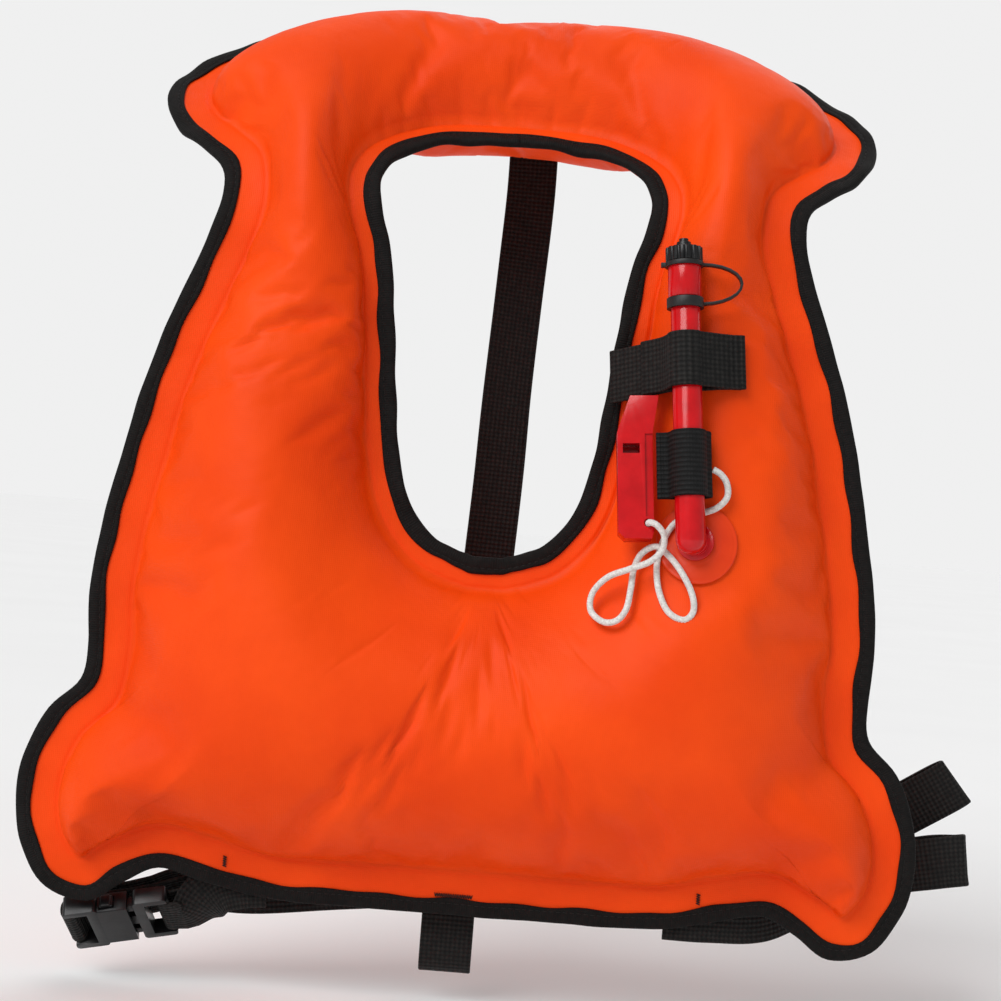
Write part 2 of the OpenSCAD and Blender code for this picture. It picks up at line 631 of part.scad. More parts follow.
// ---- Band and loop that hold the tube ---------------------------------------
// All of it lies in the tube's own frame
band_z = 81;
band_left = -32;
band_fold = 25;
flap_left = -14;
under_tube = tube_r + seat_gap + webbing_t / 2 + 0.1;
neck_end_y = -tape_out - soft_gap - webbing_t / 2 - tube_level - band_z * sin(tube_lean);
bridge_x = -5;
function base_y(x) =
  x < bridge_x
  ? under_tube + (neck_end_y - under_tube) * (bridge_x - x) / (bridge_x - band_left)
  : min(under_tube, min([for (s = [-1, 0, 1])
      chest_y(x, band_z + s * webbing_w / 2)]) - soft_gap - webbing_t / 2);
module level_strip(path, z, w, t) {
  webbing([for (p = path) [p[0], p[1], z, 0, 0, 1]], w, t);
}
base_path = [for (x = [band_left : 3 : band_fold]) [x, base_y(x)]];
fold_y = base_y(band_fold);
module band_base() {
  color("#15120f") tube_frame() level_strip(base_path, band_z, webbing_w, webbing_t);
}
// The hook and loop patches lie between the base and the flap's free end
patch_gap = 0.2;
hook_t = 0.9;
base_run = unit([bridge_x - band_left, under_tube - neck_end_y]);
base_up = [base_run[1], -base_run[0]];
function on_base(x, lift) = [x, base_y(x)] + lift * base_up;
loop_lift = webbing_t / 2 + patch_gap + hook_t / 2;
hook_lift = loop_lift + hook_t + patch_gap;
flap_lift = hook_lift + hook_t / 2 + patch_gap + webbing_t / 2;
hook_w = webbing_w - 3;
function patch_path(lift) = [on_base(flap_left - 2, lift), on_base(flap_left + 6, lift)];
module loop_patch() {
  color("#1d1a17") tube_frame() level_strip(patch_path(loop_lift), band_z, hook_w, hook_t);
}
module hook_patch() {
  color("#1d1a17") tube_frame() level_strip(patch_path(hook_lift), band_z, hook_w, hook_t);
}
module band_flap() {
  hump_r = tube_r + seat_gap + webbing_t / 2 + 0.2;
  path = concat([[band_fold + 0.4, fold_y - webbing_t - seat_gap],
                 [band_fold - 4, fold_y - webbing_t - seat_gap - 1]],
                [for (a = [-25 : -20 : -185]) hump_r * [cos(a), sin(a)]],
                [on_base(flap_left + 6, flap_lift), on_base(flap_left - 2, flap_lift)]);
  color("#17140f") tube_frame() level_strip(path, band_z, webbing_w, webbing_t);
}
// The elastic is folded round the tube; both ends are sewn down on its left
elastic_t = 1.2;
elastic_z = 34;
module elastic_loop() {
  wrap_r = tube_r + seat_gap + elastic_t / 2;
  tail = -14;
  path = concat([[tail, 4.2], [tail + 4, 4.2], [-wrap_r - 0.6, 2.4]],
                [for (a = [180 : 20 : 360]) wrap_r * [cos(a), sin(a)]],
                [[10, 2.5], [9, 5.4], [5, wrap_r], [0, wrap_r + 0.2], [-5, wrap_r],
                 [tail + 4, 6.4], [tail, 6.2]]);
  color("#121212") tube_frame() level_strip(path, elastic_z, elastic_w, elastic_t);
}

// ---- Whistle ----------------------------------------------------------------
// Its own frame: z up from the bottom of its body, y through its thickness
whistle_tilt = 4.6;
whistle_lean = 11;
whistle_x = 66 * x_scale;
whistle_z = -158 * s_scale - web_extra;
mouth_l = 17;
mouth_shift = 4;
rib_w = 3.6;
wall_w = 1.4;
eye_r = cord_d / 2 + 0.5;
eye_place = [whistle_w / 2 - 2.6, 6];
// The back of the body clears the chest at both of its edges
whistle_back = min([for (z = [0 : 12 : 60]) for (e = [-1, 1])
  let (x = whistle_x + e * whistle_w / 2 - z * sin(whistle_tilt))
  front_y(x, whistle_z + z * cos(whistle_tilt)) - z * tan(whistle_lean)]) - soft_gap;
module whistle_frame() {
  translate([whistle_x, whistle_back, whistle_z]) rotate([0, -whistle_tilt, 0])
    rotate([-whistle_lean, 0, 0]) translate([0, -whistle_t, 0]) children();
}
module through(t) { rotate([-90, 0, 0]) linear_extrude(t) mirror([0, 1]) children(); }
module whistle_outline() {
  w = whistle_w / 2;
  mouth_top = whistle_body_l + mouth_l;
  polygon([[-w + 3, -1], [w - 1, -1], [w, 2], [w, whistle_body_l],
           [w + mouth_shift - 1, mouth_top], [-w + mouth_shift + 2, mouth_top],
           [-w, whistle_body_l], [-w, 2]]);
}
module whistle() {
  chamber_w = whistle_w - rib_w - 2 * wall_w;
  chamber_top = whistle_body_l - 5;
  color("#cf1b22") whistle_frame() difference() {
    intersection() {
      through(whistle_t) whistle_outline();
      rotate([90, 0, 90]) translate([0, 0, -whistle_w]) linear_extrude(3 * whistle_w)
        polygon([[0, -2], [whistle_t, -2], [whistle_t, whistle_body_l + 2],
                 [whistle_t - 3, whistle_body_l + mouth_l + 1],
                 [1.5, whistle_body_l + mouth_l + 1], [0, whistle_body_l - 6]]);
    }
    // the sound chamber, its window and the wind way from the mouth
    translate([-whistle_w / 2 + wall_w, wall_w, 8])
      cube([chamber_w, whistle_t - 2 * wall_w, chamber_top - 8]);
    translate([-whistle_w / 2 + wall_w + 1, -1, chamber_top - 5])
      cube([chamber_w - 2, wall_w + 2, 4.5]);
    translate([-whistle_w / 2 + wall_w + 3, 3.2, chamber_top - 1])
      cube([chamber_w - 4, 3, mouth_l + 30]);
    translate([eye_place[0], -1, eye_place[1]]) rotate([-90, 0, 0])
      cylinder(whistle_t + 2, eye_r, eye_r, $fn = 48);
    // the step between the face and the rib on its right
    translate([whistle_w / 2 - rib_w, -1, 9]) cube([rib_w + 1, 2.2, whistle_body_l - 10]);
  }
}

// ---- Whistle cord -----------------------------------------------------------
// From inside the whistle's eye, in two hanging loops, to the elastic's right side
CORD = [
  [71, -38, -151], [71.2, -46, -149.4], [74.5, -48.5, -150.5], [78, -48, -155],
  [77.5, -47, -161.5], [72.5, -45.5, -167], [64, -43.5, -171], [55, -38, -175.5],
  [49, -34, -183], [48.5, -36, -191], [54, -41, -195.5], [60, -43.5, -194.5],
  [64, -43, -189], [65.5, -40.5, -180], [66.5, -37, -170.5], [69.5, -38, -163.5],
  [75.5, -41, -160], [81.5, -43.5, -164], [87.5, -46.5, -171], [92.5, -48, -180],
  [93.5, -48.5, -187.5], [89.5, -48.5, -191.5], [82.5, -47, -188.5],
  [78, -44, -180], [76.5, -40, -171], [77, -37.5, -163], [79, -37.5, -156],
  [82.5, -38.5, -149.5], [88, -40, -145.5], [94.5, -41.5, -143.5], [101, -43, -140.5],
  [105, -43.5, -135.5], [104.5, -43.5, -129.5], [101.5, -43.5, -125.5],
  [97.8, -43.5, -123.5]];
module whistle_cord() {
  route = smooth_row([for (p = CORD) [p[0] * x_scale, p[1], p[2] * s_scale]], 2);
  color("#f0efec") cord_tube(route, cord_d / 2, 8);
}

front_panel();
back_panel();
outer_binding();
neck_binding();
bar_tacks();
back_strap();
waist_belt();
buckle_strap();
buckle_socket();
buckle_plug();
plug_prongs();
weld_patch();
weld_flange();
inflation_tube();
valve_housing();
valve_seat();
valve_stem();
stem_seal();
valve_spring();
lock_ring();
cap_tether();
band_base();
band_flap();
loop_patch();
hook_patch();
elastic_loop();
whistle();
whistle_cord();
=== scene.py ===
import math
import bmesh
import bpy
import numpy as np
from mathutils import Matrix, Vector


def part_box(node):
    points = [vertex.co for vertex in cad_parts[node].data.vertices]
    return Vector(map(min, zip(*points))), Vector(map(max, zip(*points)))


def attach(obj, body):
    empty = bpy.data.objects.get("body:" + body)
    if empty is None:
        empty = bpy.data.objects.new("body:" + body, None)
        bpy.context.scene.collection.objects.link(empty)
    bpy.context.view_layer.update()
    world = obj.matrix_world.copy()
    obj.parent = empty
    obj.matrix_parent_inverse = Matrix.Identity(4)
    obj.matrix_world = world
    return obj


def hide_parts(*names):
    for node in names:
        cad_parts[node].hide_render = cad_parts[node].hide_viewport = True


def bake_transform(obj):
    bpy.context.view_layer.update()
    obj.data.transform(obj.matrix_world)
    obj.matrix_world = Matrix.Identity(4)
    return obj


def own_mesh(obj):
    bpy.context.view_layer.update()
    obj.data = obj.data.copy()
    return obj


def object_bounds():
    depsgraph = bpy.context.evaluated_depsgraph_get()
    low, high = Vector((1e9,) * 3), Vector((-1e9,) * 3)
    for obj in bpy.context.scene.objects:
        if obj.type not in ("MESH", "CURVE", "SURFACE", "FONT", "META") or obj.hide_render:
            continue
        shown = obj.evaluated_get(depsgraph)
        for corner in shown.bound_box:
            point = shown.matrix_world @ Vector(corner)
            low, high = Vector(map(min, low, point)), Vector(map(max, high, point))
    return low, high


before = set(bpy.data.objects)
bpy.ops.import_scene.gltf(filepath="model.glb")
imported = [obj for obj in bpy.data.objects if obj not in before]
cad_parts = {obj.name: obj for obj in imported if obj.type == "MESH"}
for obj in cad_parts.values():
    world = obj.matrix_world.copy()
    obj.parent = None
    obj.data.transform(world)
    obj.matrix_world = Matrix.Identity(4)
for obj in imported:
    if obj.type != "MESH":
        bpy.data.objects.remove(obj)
cad_low, cad_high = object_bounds()

# ---- Camera -----------------------------------------------------------------
# A camera a metre in front of the chest, level with the middle of the vest,
# which hangs a few degrees clockwise in its view.
MM = 0.001
VIEW_DISTANCE = 1.0
VIEW_WIDTH = 0.4685
VIEW_CENTRE = (0.004, -0.145)
HANG_ANGLE = math.radians(4.6)
SENSOR_WIDTH = 36
camera_data = bpy.data.cameras.new("camera")
camera_data.sensor_width = SENSOR_WIDTH
camera_data.lens = SENSOR_WIDTH * VIEW_DISTANCE / VIEW_WIDTH
camera = bpy.data.objects.new("camera", camera_data)
bpy.context.scene.collection.objects.link(camera)
camera.matrix_world = Matrix((
    (math.cos(HANG_ANGLE), -math.sin(HANG_ANGLE), 0, VIEW_CENTRE[0]),
    (0, 0, -1, -VIEW_DISTANCE),
    (math.sin(HANG_ANGLE), math.cos(HANG_ANGLE), 0, VIEW_CENTRE[1]),
    (0, 0, 0, 1)))
bpy.context.scene.camera = camera

# ---- Whistle cord -----------------------------------------------------------
# A braided white polyester cord, tied through the whistle's eye. It hangs in two
# loops and its end is tucked behind the elastic on the tube.
CORD_ROUTE = [
    (71, -38, -151), (71.2, -46, -149.4), (74.5, -48.5, -150.5), (78, -48, -155),
    (77.5, -47, -161.5), (72.5, -45.5, -167), (64, -43.5, -171), (55, -38, -175.5),
    (49, -34, -183), (48.5, -36, -191), (54, -41, -195.5), (60, -43.5, -194.5),
    (64, -43, -189), (65.5, -40.5, -180), (66.5, -37, -170.5), (69.5, -38, -163.5),
    (75.5, -41, -160), (81.5, -43.5, -164), (87.5, -46.5, -171), (92.5, -48, -180),
    (93.5, -48.5, -187.5), (89.5, -48.5, -191.5), (82.5, -47, -188.5),
    (78, -44, -180), (76.5, -40, -171), (77, -37.5, -163), (79, -37.5, -156),
    (82.5, -38.5, -149.5), (88, -40, -145.5), (94.5, -41.5, -143.5),
    (101, -43, -140.5), (105, -43.5, -135.5), (104.5, -43.5, -129.5),
    (101.5, -43.5, -125.5), (97.8, -43.5, -123.5)]
CORD_D = 2.8
CORD_STEP = 0.3
CORD_SIDES = 36
BRAID_STRANDS = 12
BRAID_PITCH = 7.0
BRAID_DEPTH = 0.26
BRAID_PROUD = 0.1
CURVE_STEPS = 12


def curve_point(a, b, c, d, t):
    """A place between b and c on the smooth curve through four points in turn."""
    return 0.5 * (2 * b + (c - a) * t + (2 * a - 5 * b + 4 * c - d) * t ** 2
                  + (3 * b - a - 3 * c + d) * t ** 3)


def smooth_row(points, steps):
    """A smooth curve through rows of numbers, with that many steps a span."""
    rows = np.array(points, float)
    out = []
    for i in range(len(rows) - 1):
        a, b = rows[max(i - 1, 0)], rows[i]
        c, d = rows[i + 1], rows[min(i + 2, len(rows) - 1)]
        for k in range(steps + (i == len(rows) - 2)):
            out.append(curve_point(a, b, c, d, k / steps))
    return np.array(out)


def evenly(path, gap):
    """The same path with its points gap apart, and how far along each lies."""
    along = np.concatenate([[0], np.cumsum(np.linalg.norm(np.diff(path[:, :3], axis=0),
                                                          axis=1))])
    stops = np.linspace(0, along[-1], int(along[-1] / gap) + 1)
    columns = [np.interp(stops, along, path[:, c]) for c in range(path.shape[1])]
    return np.stack(columns, 1), stops


def units(rows):
    """Each row of numbers at length 1."""
    return rows / np.maximum(np.linalg.norm(rows, axis=-1, keepdims=True), 1e-9)


def carried_sides(path):
    """Two directions across a path, carried along it without twisting."""
    run = units(np.gradient(path, axis=0))
    side = units(np.cross(run[0], (0, 0, 1.0) if abs(run[0][2]) < 0.9 else (1.0, 0, 0)))
    sides = []
    for r in run:
        side = units(side - side.dot(r) * r)
        sides.append(side)
    return np.array(sides), np.cross(run, np.array(sides))


def placed(name, mesh):
    mesh.shade_smooth()
    piece = bpy.data.objects.new(name, mesh)
    bpy.context.scene.collection.objects.link(piece)
    return piece


def mesh_piece(name, verts, faces, uv=None, turn_out=True):
    """A mesh from points in millimetres; uv is one pair a point, in metres."""
    mesh = bpy.data.meshes.new(name)
    mesh.from_pydata((np.asarray(verts) * MM).tolist(), [], faces)
    if uv is not None:
        layer = mesh.uv_layers.new(name="UVMap")
        loops = np.zeros(len(mesh.loops), int)
        mesh.loops.foreach_get("vertex_index", loops)
        layer.data.foreach_set("uv", np.asarray(uv, np.float32)[loops].ravel())
    if turn_out:
        shell = bmesh.new()
        shell.from_mesh(mesh)
        bmesh.ops.recalc_face_normals(shell, faces=shell.faces)
        shell.to_mesh(mesh)
        shell.free()
    return placed(name, mesh)


def ringed_piece(name, rings, uv=None, looped=False):
    """A skin over rings of points; a looped one joins its last ring to its first."""
    n, k = rings.shape[:2]
    faces = []
    for i in range(n if looped else n - 1):
        for j in range(k):
            a, b = i * k + j, i * k + (j + 1) % k
            turn = (i + 1) % n * k
            faces.append((a, b, turn + (j + 1) % k, turn + j))
    if not looped:
        faces.append(tuple(range(k))[::-1])
        faces.append(tuple((n - 1) * k + j for j in range(k)))
    return mesh_piece(name, rings.reshape(-1, 3), faces,
                      None if uv is None else uv.reshape(-1, 2))


class Finish:
    """A material being wired: its nodes, its shader and short calls to add more."""

    def __init__(self, name, roughness, **sockets):
        self.material = bpy.data.materials.new(name)
        self.material.use_nodes = True
        tree = self.material.node_tree
        self.nodes, self.links = tree.nodes, tree.links
        self.shader = self.nodes["Principled BSDF"]
        self.shader.inputs["Roughness"].default_value = roughness
        for socket, value in sockets.items():
            self.shader.inputs[socket.replace("_", " ")].default_value = value

    def feed(self, socket, value):
        """A socket takes a link or a plain number."""
        if isinstance(value, bpy.types.NodeSocket):
            self.links.new(value, socket)
        else:
            socket.default_value = value

    def coords(self, kind="Object"):
        return self.nodes.new("ShaderNodeTexCoord").outputs[kind]

    def noise(self, scale, detail=3.0, where=None):
        node = self.nodes.new("ShaderNodeTexNoise")
        node.inputs["Scale"].default_value = scale
        node.inputs["Detail"].default_value = detail
        self.feed(node.inputs["Vector"], where or self.coords())
        return node.outputs["Fac"]

    def math(self, kind, *values):
        node = self.nodes.new("ShaderNodeMath")
        node.operation = kind
        for socket, value in zip(node.inputs, values):
            self.feed(socket, value)
        return node.outputs[0]

    def ribs(self, axis, pitch, kind="UV"):
        """Even ridges from 0 to 1 across one axis of the mapping, pitch in metres."""
        split = self.nodes.new("ShaderNodeSeparateXYZ")
        self.links.new(self.coords(kind), split.inputs[0])
        wave = self.math("SINE", self.math("MULTIPLY", split.outputs[axis],
                                           2 * math.pi / pitch))
        return self.math("MULTIPLY_ADD", wave, 0.5, 0.5)

    def diamonds(self, across, along):
        """Staggered rounded grains, as plain-woven yarns show, from 0 to 1."""
        split = self.nodes.new("ShaderNodeSeparateXYZ")
        self.links.new(self.coords("UV"), split.inputs[0])
        u = self.math("MULTIPLY", split.outputs[0], math.pi / across)
        v = self.math("MULTIPLY", split.outputs[1], math.pi / along)
        grains = self.math("MULTIPLY", self.math("SINE", self.math("ADD", u, v)),
                           self.math("SINE", self.math("SUBTRACT", u, v)))
        return self.math("MULTIPLY_ADD", grains, 0.5, 0.5)

    def colours(self, amount, low, high, start=0.3, end=0.7):
        ramp = self.nodes.new("ShaderNodeValToRGB")
        ramp.color_ramp.elements[0].position = start
        ramp.color_ramp.elements[1].position = end
        ramp.color_ramp.elements[0].color = (*low, 1)
        ramp.color_ramp.elements[1].color = (*high, 1)
        self.links.new(amount, ramp.inputs[0])
        self.links.new(ramp.outputs[0], self.shader.inputs["Base Color"])

    def spread(self, amount, low, high):
        """Roughness that runs from low to high with the amount."""
        node = self.nodes.new("ShaderNodeMapRange")
        node.inputs["To Min"].default_value = low
        node.inputs["To Max"].default_value = high
        self.links.new(amount, node.inputs["Value"])
        self.links.new(node.outputs[0], self.shader.inputs["Roughness"])

    def relief(self, *layers):
        """Bumps, each (height from 0 to 1, its depth in metres)."""
        normal = None
        for height, depth in layers:
            bump = self.nodes.new("ShaderNodeBump")
            bump.inputs["Distance"].default_value = depth
            self.links.new(height, bump.inputs["Height"])
            if normal:
                self.links.new(normal, bump.inputs["Normal"])
            normal = bump.outputs[0]
        self.links.new(normal, self.shader.inputs["Normal"])


def cord_rings(path, along, radius, sides):
    """Rings of a braid: strands cross in two directions and stand out a little."""
    across, up = carried_sides(path)
    rings = []
    for i, distance in enumerate(along):
        ring = []
        for k in range(sides):
            angle = 2 * math.pi * k / sides
            turn = 2 * math.pi * distance / BRAID_PITCH
            half = BRAID_STRANDS / 2
            lift = max(math.sin(half * angle + turn * half), math.sin(half * angle - turn * half))
            r = radius - BRAID_DEPTH * (1 - lift)
            ring.append(path[i] + r * (math.cos(angle) * across[i] + math.sin(angle) * up[i]))
        rings.append(ring)
    return np.array(rings)


cord_path, cord_along = evenly(smooth_row(CORD_ROUTE, CURVE_STEPS), CORD_STEP)
whistle_cord = ringed_piece("whistle_cord_braid",
                            cord_rings(cord_path, cord_along, CORD_D / 2 + BRAID_PROUD,
                                       CORD_SIDES))
polyester = Finish("white_polyester_braid", 0.75, Sheen_Weight=0.3)
polyester.colours(polyester.noise(900), (0.62, 0.60, 0.56), (0.88, 0.87, 0.84))
polyester.relief((polyester.noise(3500), 0.00012))
whistle_cord.data.materials.append(polyester.material)
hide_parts("whistle_cord")
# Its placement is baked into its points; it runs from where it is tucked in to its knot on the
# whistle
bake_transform(whistle_cord)

# ---- Air chamber panels -----------------------------------------------------
# Two sheets of orange nylon, coated inside and welded to each other along the
# neck and the outer edge. Air swells them between the welds, and the cloth that
# the curve leaves over puckers beside each weld.
# Flat pattern, right half: (neck edge x, its height, outer edge x, its height).
STATIONS = [
    (0, 36, 0, 142), (14, 36, 36, 142), (27, 35, 72, 140), (39, 32, 104, 132),
    (48, 27, 130, 116), (55, 21, 152, 97), (60, 15, 166, 78), (63, 9, 172, 60),
    (65, 3, 170, 43), (65, -3, 161, 26), (64, -9, 148, 13), (62, -18, 138, 2),
    (59, -27, 136, -12), (57, -36, 141, -32), (55, -48, 150, -56), (54, -60, 159, -81),
    (52, -74, 167, -108), (51, -90, 172, -132), (49, -104, 177, -155),
    (48, -117, 181, -178), (46, -127, 183, -202), (44, -136, 182, -226),
    (42, -143, 184, -244), (39, -150, 198, -259), (36, -155, 207, -279),
    (32, -160, 210, -300), (28, -164, 206, -322), (24, -167, 193, -341),
    (19, -169, 174, -346), (14, -171, 158, -336), (10, -172, 142, -328),
    (7, -173, 122, -332), (4, -173, 92, -338), (2, -173, 46, -339), (0, -173, 0, -339)]
NECK_SEAM = 14
OUTER_SEAM = 20
WALL = 0.8
WELD_GAP = 0.1
CHEST_HALF = 48
CHEST_POINT = (0, -250)
PUFF_POWER = 0.55
BEND_START = -25
BEND_LENGTH = 50
COLLAR_TILT = math.radians(49)
BEND_RADIUS = BEND_LENGTH / COLLAR_TILT


def place(points, lift):
    """Pattern points bent over the collar, lifted towards the front."""
    s = points[..., 1]
    angle = np.clip((s - BEND_START) / BEND_LENGTH, 0, 1) * COLLAR_TILT
    over = np.maximum(s - BEND_START - BEND_LENGTH, 0)
    under = np.minimum(s - BEND_START, 0)
    y = BEND_RADIUS * (1 - np.cos(angle)) + over * math.sin(COLLAR_TILT)
    z = BEND_START + BEND_RADIUS * np.sin(angle) + over * math.cos(COLLAR_TILT) + under
    return np.stack([points[..., 0] + 0 * lift, y - lift * np.cos(angle),
                     z + lift * np.sin(angle)], -1)


def whole_edge(column):
    """A closed edge from the right half's stations and their mirror image."""
    right = np.array([row[column:column + 2] for row in STATIONS], float)
    return np.concatenate([right, right[-2:0:-1] * (-1, 1)])


def inset(edge, distance, side):
    """A loop moved inside the cloth; side is 1 for the outer edge, -1 for the neck."""
    run = units(np.roll(edge, -1, 0) - np.roll(edge, 1, 0))
    return edge + side * distance * np.stack([run[:, 1], -run[:, 0]], -1)


neck_edge, outer_edge = whole_edge(0), whole_edge(2)
neck_weld = inset(neck_edge, NECK_SEAM, -1)
outer_weld = inset(outer_edge, OUTER_SEAM, 1)


def weld_pull(points, loop):
    """How near points lie to a weld line, summed along its straight pieces."""
    total = 0
    for a, b in zip(loop, np.roll(loop, -1, 0)):
        run = units(b - a)
        s1, s2 = (a - points) @ run, (b - points) @ run
        d2 = np.maximum(((a - points) ** 2).sum(-1) - s1 ** 2, 0.01)
        total = total + (s2 / np.sqrt(s2 ** 2 + d2) - s1 / np.sqrt(s1 ** 2 + d2)) / d2
    return total


def reach(points):
    """How far points lie from the welds that hold the cloth down."""
    return np.sqrt(2 / (weld_pull(points, neck_weld) + weld_pull(points, outer_weld)))


chest_reach = reach(np.array([CHEST_POINT], float))[0]


def puff(points):
    """Half thickness of the air chamber over points of the pattern."""
    return CHEST_HALF * (reach(np.asarray(points, float)) / chest_reach) ** PUFF_POWER


def step_lengths(edge):
    """The length of each straight step round a closed edge."""
    return np.linalg.norm(np.roll(edge, -1, 0) - edge, axis=1)


# Each span between stations gets even steps, as many as its longer edge needs
LOOP_STEP = 3.2
span_steps = [max(round(span / LOOP_STEP), 2)
              for span in np.maximum(step_lengths(outer_edge), step_lengths(neck_edge))]


def fine_loop(loop):
    """A closed smooth curve through a loop, with each span's number of steps."""
    out = []
    n = len(loop)
    for i, steps in enumerate(span_steps):
        a, b, c, d = loop[i - 1], loop[i], loop[(i + 1) % n], loop[(i + 2) % n]
        out += [curve_point(a, b, c, d, k / steps) for k in range(steps)]
    return np.array(out)


fine_neck_edge, fine_outer_edge = fine_loop(neck_edge), fine_loop(outer_edge)
fine_neck_weld, fine_outer_weld = fine_loop(neck_weld), fine_loop(outer_weld)
loop_n = len(fine_outer_edge)
CHAMBER_ROWS = 36
# The rows lie closer together towards the welds, where the cloth curves most
EVEN_PART, CLOSE_PART = 0.35, 0.65
chamber_t = np.linspace(0, 1, CHAMBER_ROWS + 1)
chamber_share = EVEN_PART * chamber_t + CLOSE_PART * (1 - np.cos(math.pi * chamber_t)) / 2
chamber = (fine_neck_weld[:, None] * (1 - chamber_share)[None, :, None]
           + fine_outer_weld[:, None] * chamber_share[None, :, None])
chamber_puff = puff(chamber)
chamber_puff[:, [0, -1]] = 0
SKIN_LIFT = WELD_GAP / 2 + WALL / 2
# The cloth starts a little flat and a little too large, and the air firms it up
START_SHARE = 0.96
SLACK = 0.024
FIRM_FRAMES = 26
MAX_SHIFT = 9.0


def swollen_chamber():
    """Both sheets after the air has swelled them: rows of points in millimetres."""
    start = [place(chamber, side * (SKIN_LIFT + START_SHARE * chamber_puff))
             for side in (1, -1)]
    rows = CHAMBER_ROWS + 1
    faces = []
    for sheet in (0, 1):
        for i in range(loop_n):
            for m in range(CHAMBER_ROWS):
                a = (sheet * loop_n + i) * rows + m
                b = (sheet * loop_n + (i + 1) % loop_n) * rows + m
                faces.append((a, b, b + 1, a + 1) if sheet == 0 else (a, a + 1, b + 1, b))
    cloth_piece = mesh_piece("swelling", np.concatenate(start).reshape(-1, 3), faces)
    welds = cloth_piece.vertex_groups.new(name="welds")
    pinned = [k for k in range(2 * loop_n * rows) if k % rows in (0, CHAMBER_ROWS)]
    welds.add(pinned, 1.0, "REPLACE")
    cloth = cloth_piece.modifiers.new("cloth", "CLOTH")
    cloth.settings.vertex_group_mass = "welds"
    cloth.settings.effector_weights.gravity = 0
    cloth.settings.quality = 6
    cloth.settings.mass = 0.15
    cloth.settings.tension_stiffness = 40
    cloth.settings.compression_stiffness = 40
    cloth.settings.shear_stiffness = 20
    cloth.settings.bending_stiffness = 2.5
    cloth.settings.air_damping = 3
    cloth.settings.shrink_min = -SLACK
    cloth.settings.use_pressure = True
    cloth.settings.uniform_pressure_force = 9
    for number in range(1, FIRM_FRAMES + 1):
        bpy.context.scene.frame_set(number)
    settled = cloth_piece.evaluated_get(bpy.context.evaluated_depsgraph_get())
    points = np.zeros(len(settled.data.vertices) * 3)
    settled.data.vertices.foreach_get("co", points)
    bpy.context.scene.frame_set(1)
    bpy.data.objects.remove(cloth_piece)
    sheets = points.reshape(2, loop_n, rows, 3) / MM
    out = []
    for sheet, first in zip(sheets, start):
        shift = sheet - first
        size = np.linalg.norm(shift, axis=-1, keepdims=True)
        out.append(first + shift * np.minimum(1, MAX_SHIFT / np.maximum(size, 1e-6)))
    return out


front_chamber, back_chamber = swollen_chamber()

# Where hard pieces lie on the chest the cloth stays at the height they press it to
PRESSED = [((66, -130), 34), ((80, -85), 34), ((95, -155), 24)]
SINK = 1.2
PRESS_FADE = 14


def pressed(points, side):
    """How strongly each pattern point is held by what lies on it, 0 to 1."""
    hold = np.zeros(points.shape[:-1])
    if side > 0:
        for centre, radius in PRESSED:
            gap = np.linalg.norm(points - centre, axis=-1) - radius
            hold = np.maximum(hold, np.clip(1 - gap / PRESS_FADE, 0, 1))
    return hold


# Waves of the flat seams: (length, height, where they start)
RIPPLES = [(46, 0.6, 0.4), (71, 0.5, 2.1), (27, 0.35, 4.4), (18, 0.18, 1.3)]


def around(edge):
    """How far round its loop each point of an edge lies, as an angle."""
    lengths = step_lengths(edge)
    return np.concatenate([[0], np.cumsum(lengths)[:-1]]) / lengths.sum() * 2 * math.pi


def ripple(share, edge):
    """How far the flat seam waves to the front, from the weld (0) to the edge (1)."""
    length = step_lengths(edge).sum()
    wave = sum(size * np.sin(round(length / wave_length) * around(edge) + turn)
               for wave_length, size, turn in RIPPLES)
    return wave * share ** 1.5


# Rows of the flat seam from the edge (1) towards the weld (0), with a low ridge there
SEAM_SHARES = (1.0, 0.78, 0.55, 0.36, 0.2, 0.1)
WELD_RIDGE = 0.45


def seam_rows(edge, weld, side):
    """The flat seam's rows from the edge to just beside the weld."""
    rows = []
    for share in SEAM_SHARES:
        ridge = WELD_RIDGE if share in SEAM_SHARES[-2:] else 0.0
        lift = side * (WELD_GAP / 2 + WALL + ridge) + ripple(share, edge)
        rows.append(place(weld + (edge - weld) * share, lift))
    return np.stack(rows, 1)


def panel_piece(name, swollen, side):
    """One sheet, neck edge to outer edge, with its thickness turned inwards."""
    base = place(chamber, side * (SKIN_LIFT + chamber_puff))
    hold = pressed(chamber, side)[..., None]
    middle = swollen * (1 - hold) + (base - (0, -SINK * side, 0) * hold) * hold
    out = units(base - place(chamber, 0 * chamber_puff)) * (WALL / 2)
    skin = np.concatenate([
        seam_rows(fine_neck_edge, fine_neck_weld, side),
        middle + np.nan_to_num(out),
        seam_rows(fine_outer_edge, fine_outer_weld, side)[:, ::-1]], 1)
    pattern = np.concatenate([
        np.stack([fine_neck_weld + (fine_neck_edge - fine_neck_weld) * f
                  for f in SEAM_SHARES], 1), chamber,
        np.stack([fine_outer_weld + (fine_outer_edge - fine_outer_weld) * f
                  for f in SEAM_SHARES[::-1]], 1)], 1)
    n, rows = skin.shape[:2]
    faces = []
    for i in range(n):
        for m in range(rows - 1):
            a, b = i * rows + m, (i + 1) % n * rows + m
            faces.append((a, b, b + 1, a + 1) if side > 0 else (a, a + 1, b + 1, b))
    piece = mesh_piece(name, skin.reshape(-1, 3), faces, pattern.reshape(-1, 2) * MM,
                       turn_out=False)
    thick = piece.modifiers.new("cloth thickness", "SOLIDIFY")
    thick.thickness = WALL * MM
    thick.offset = -1
    return piece


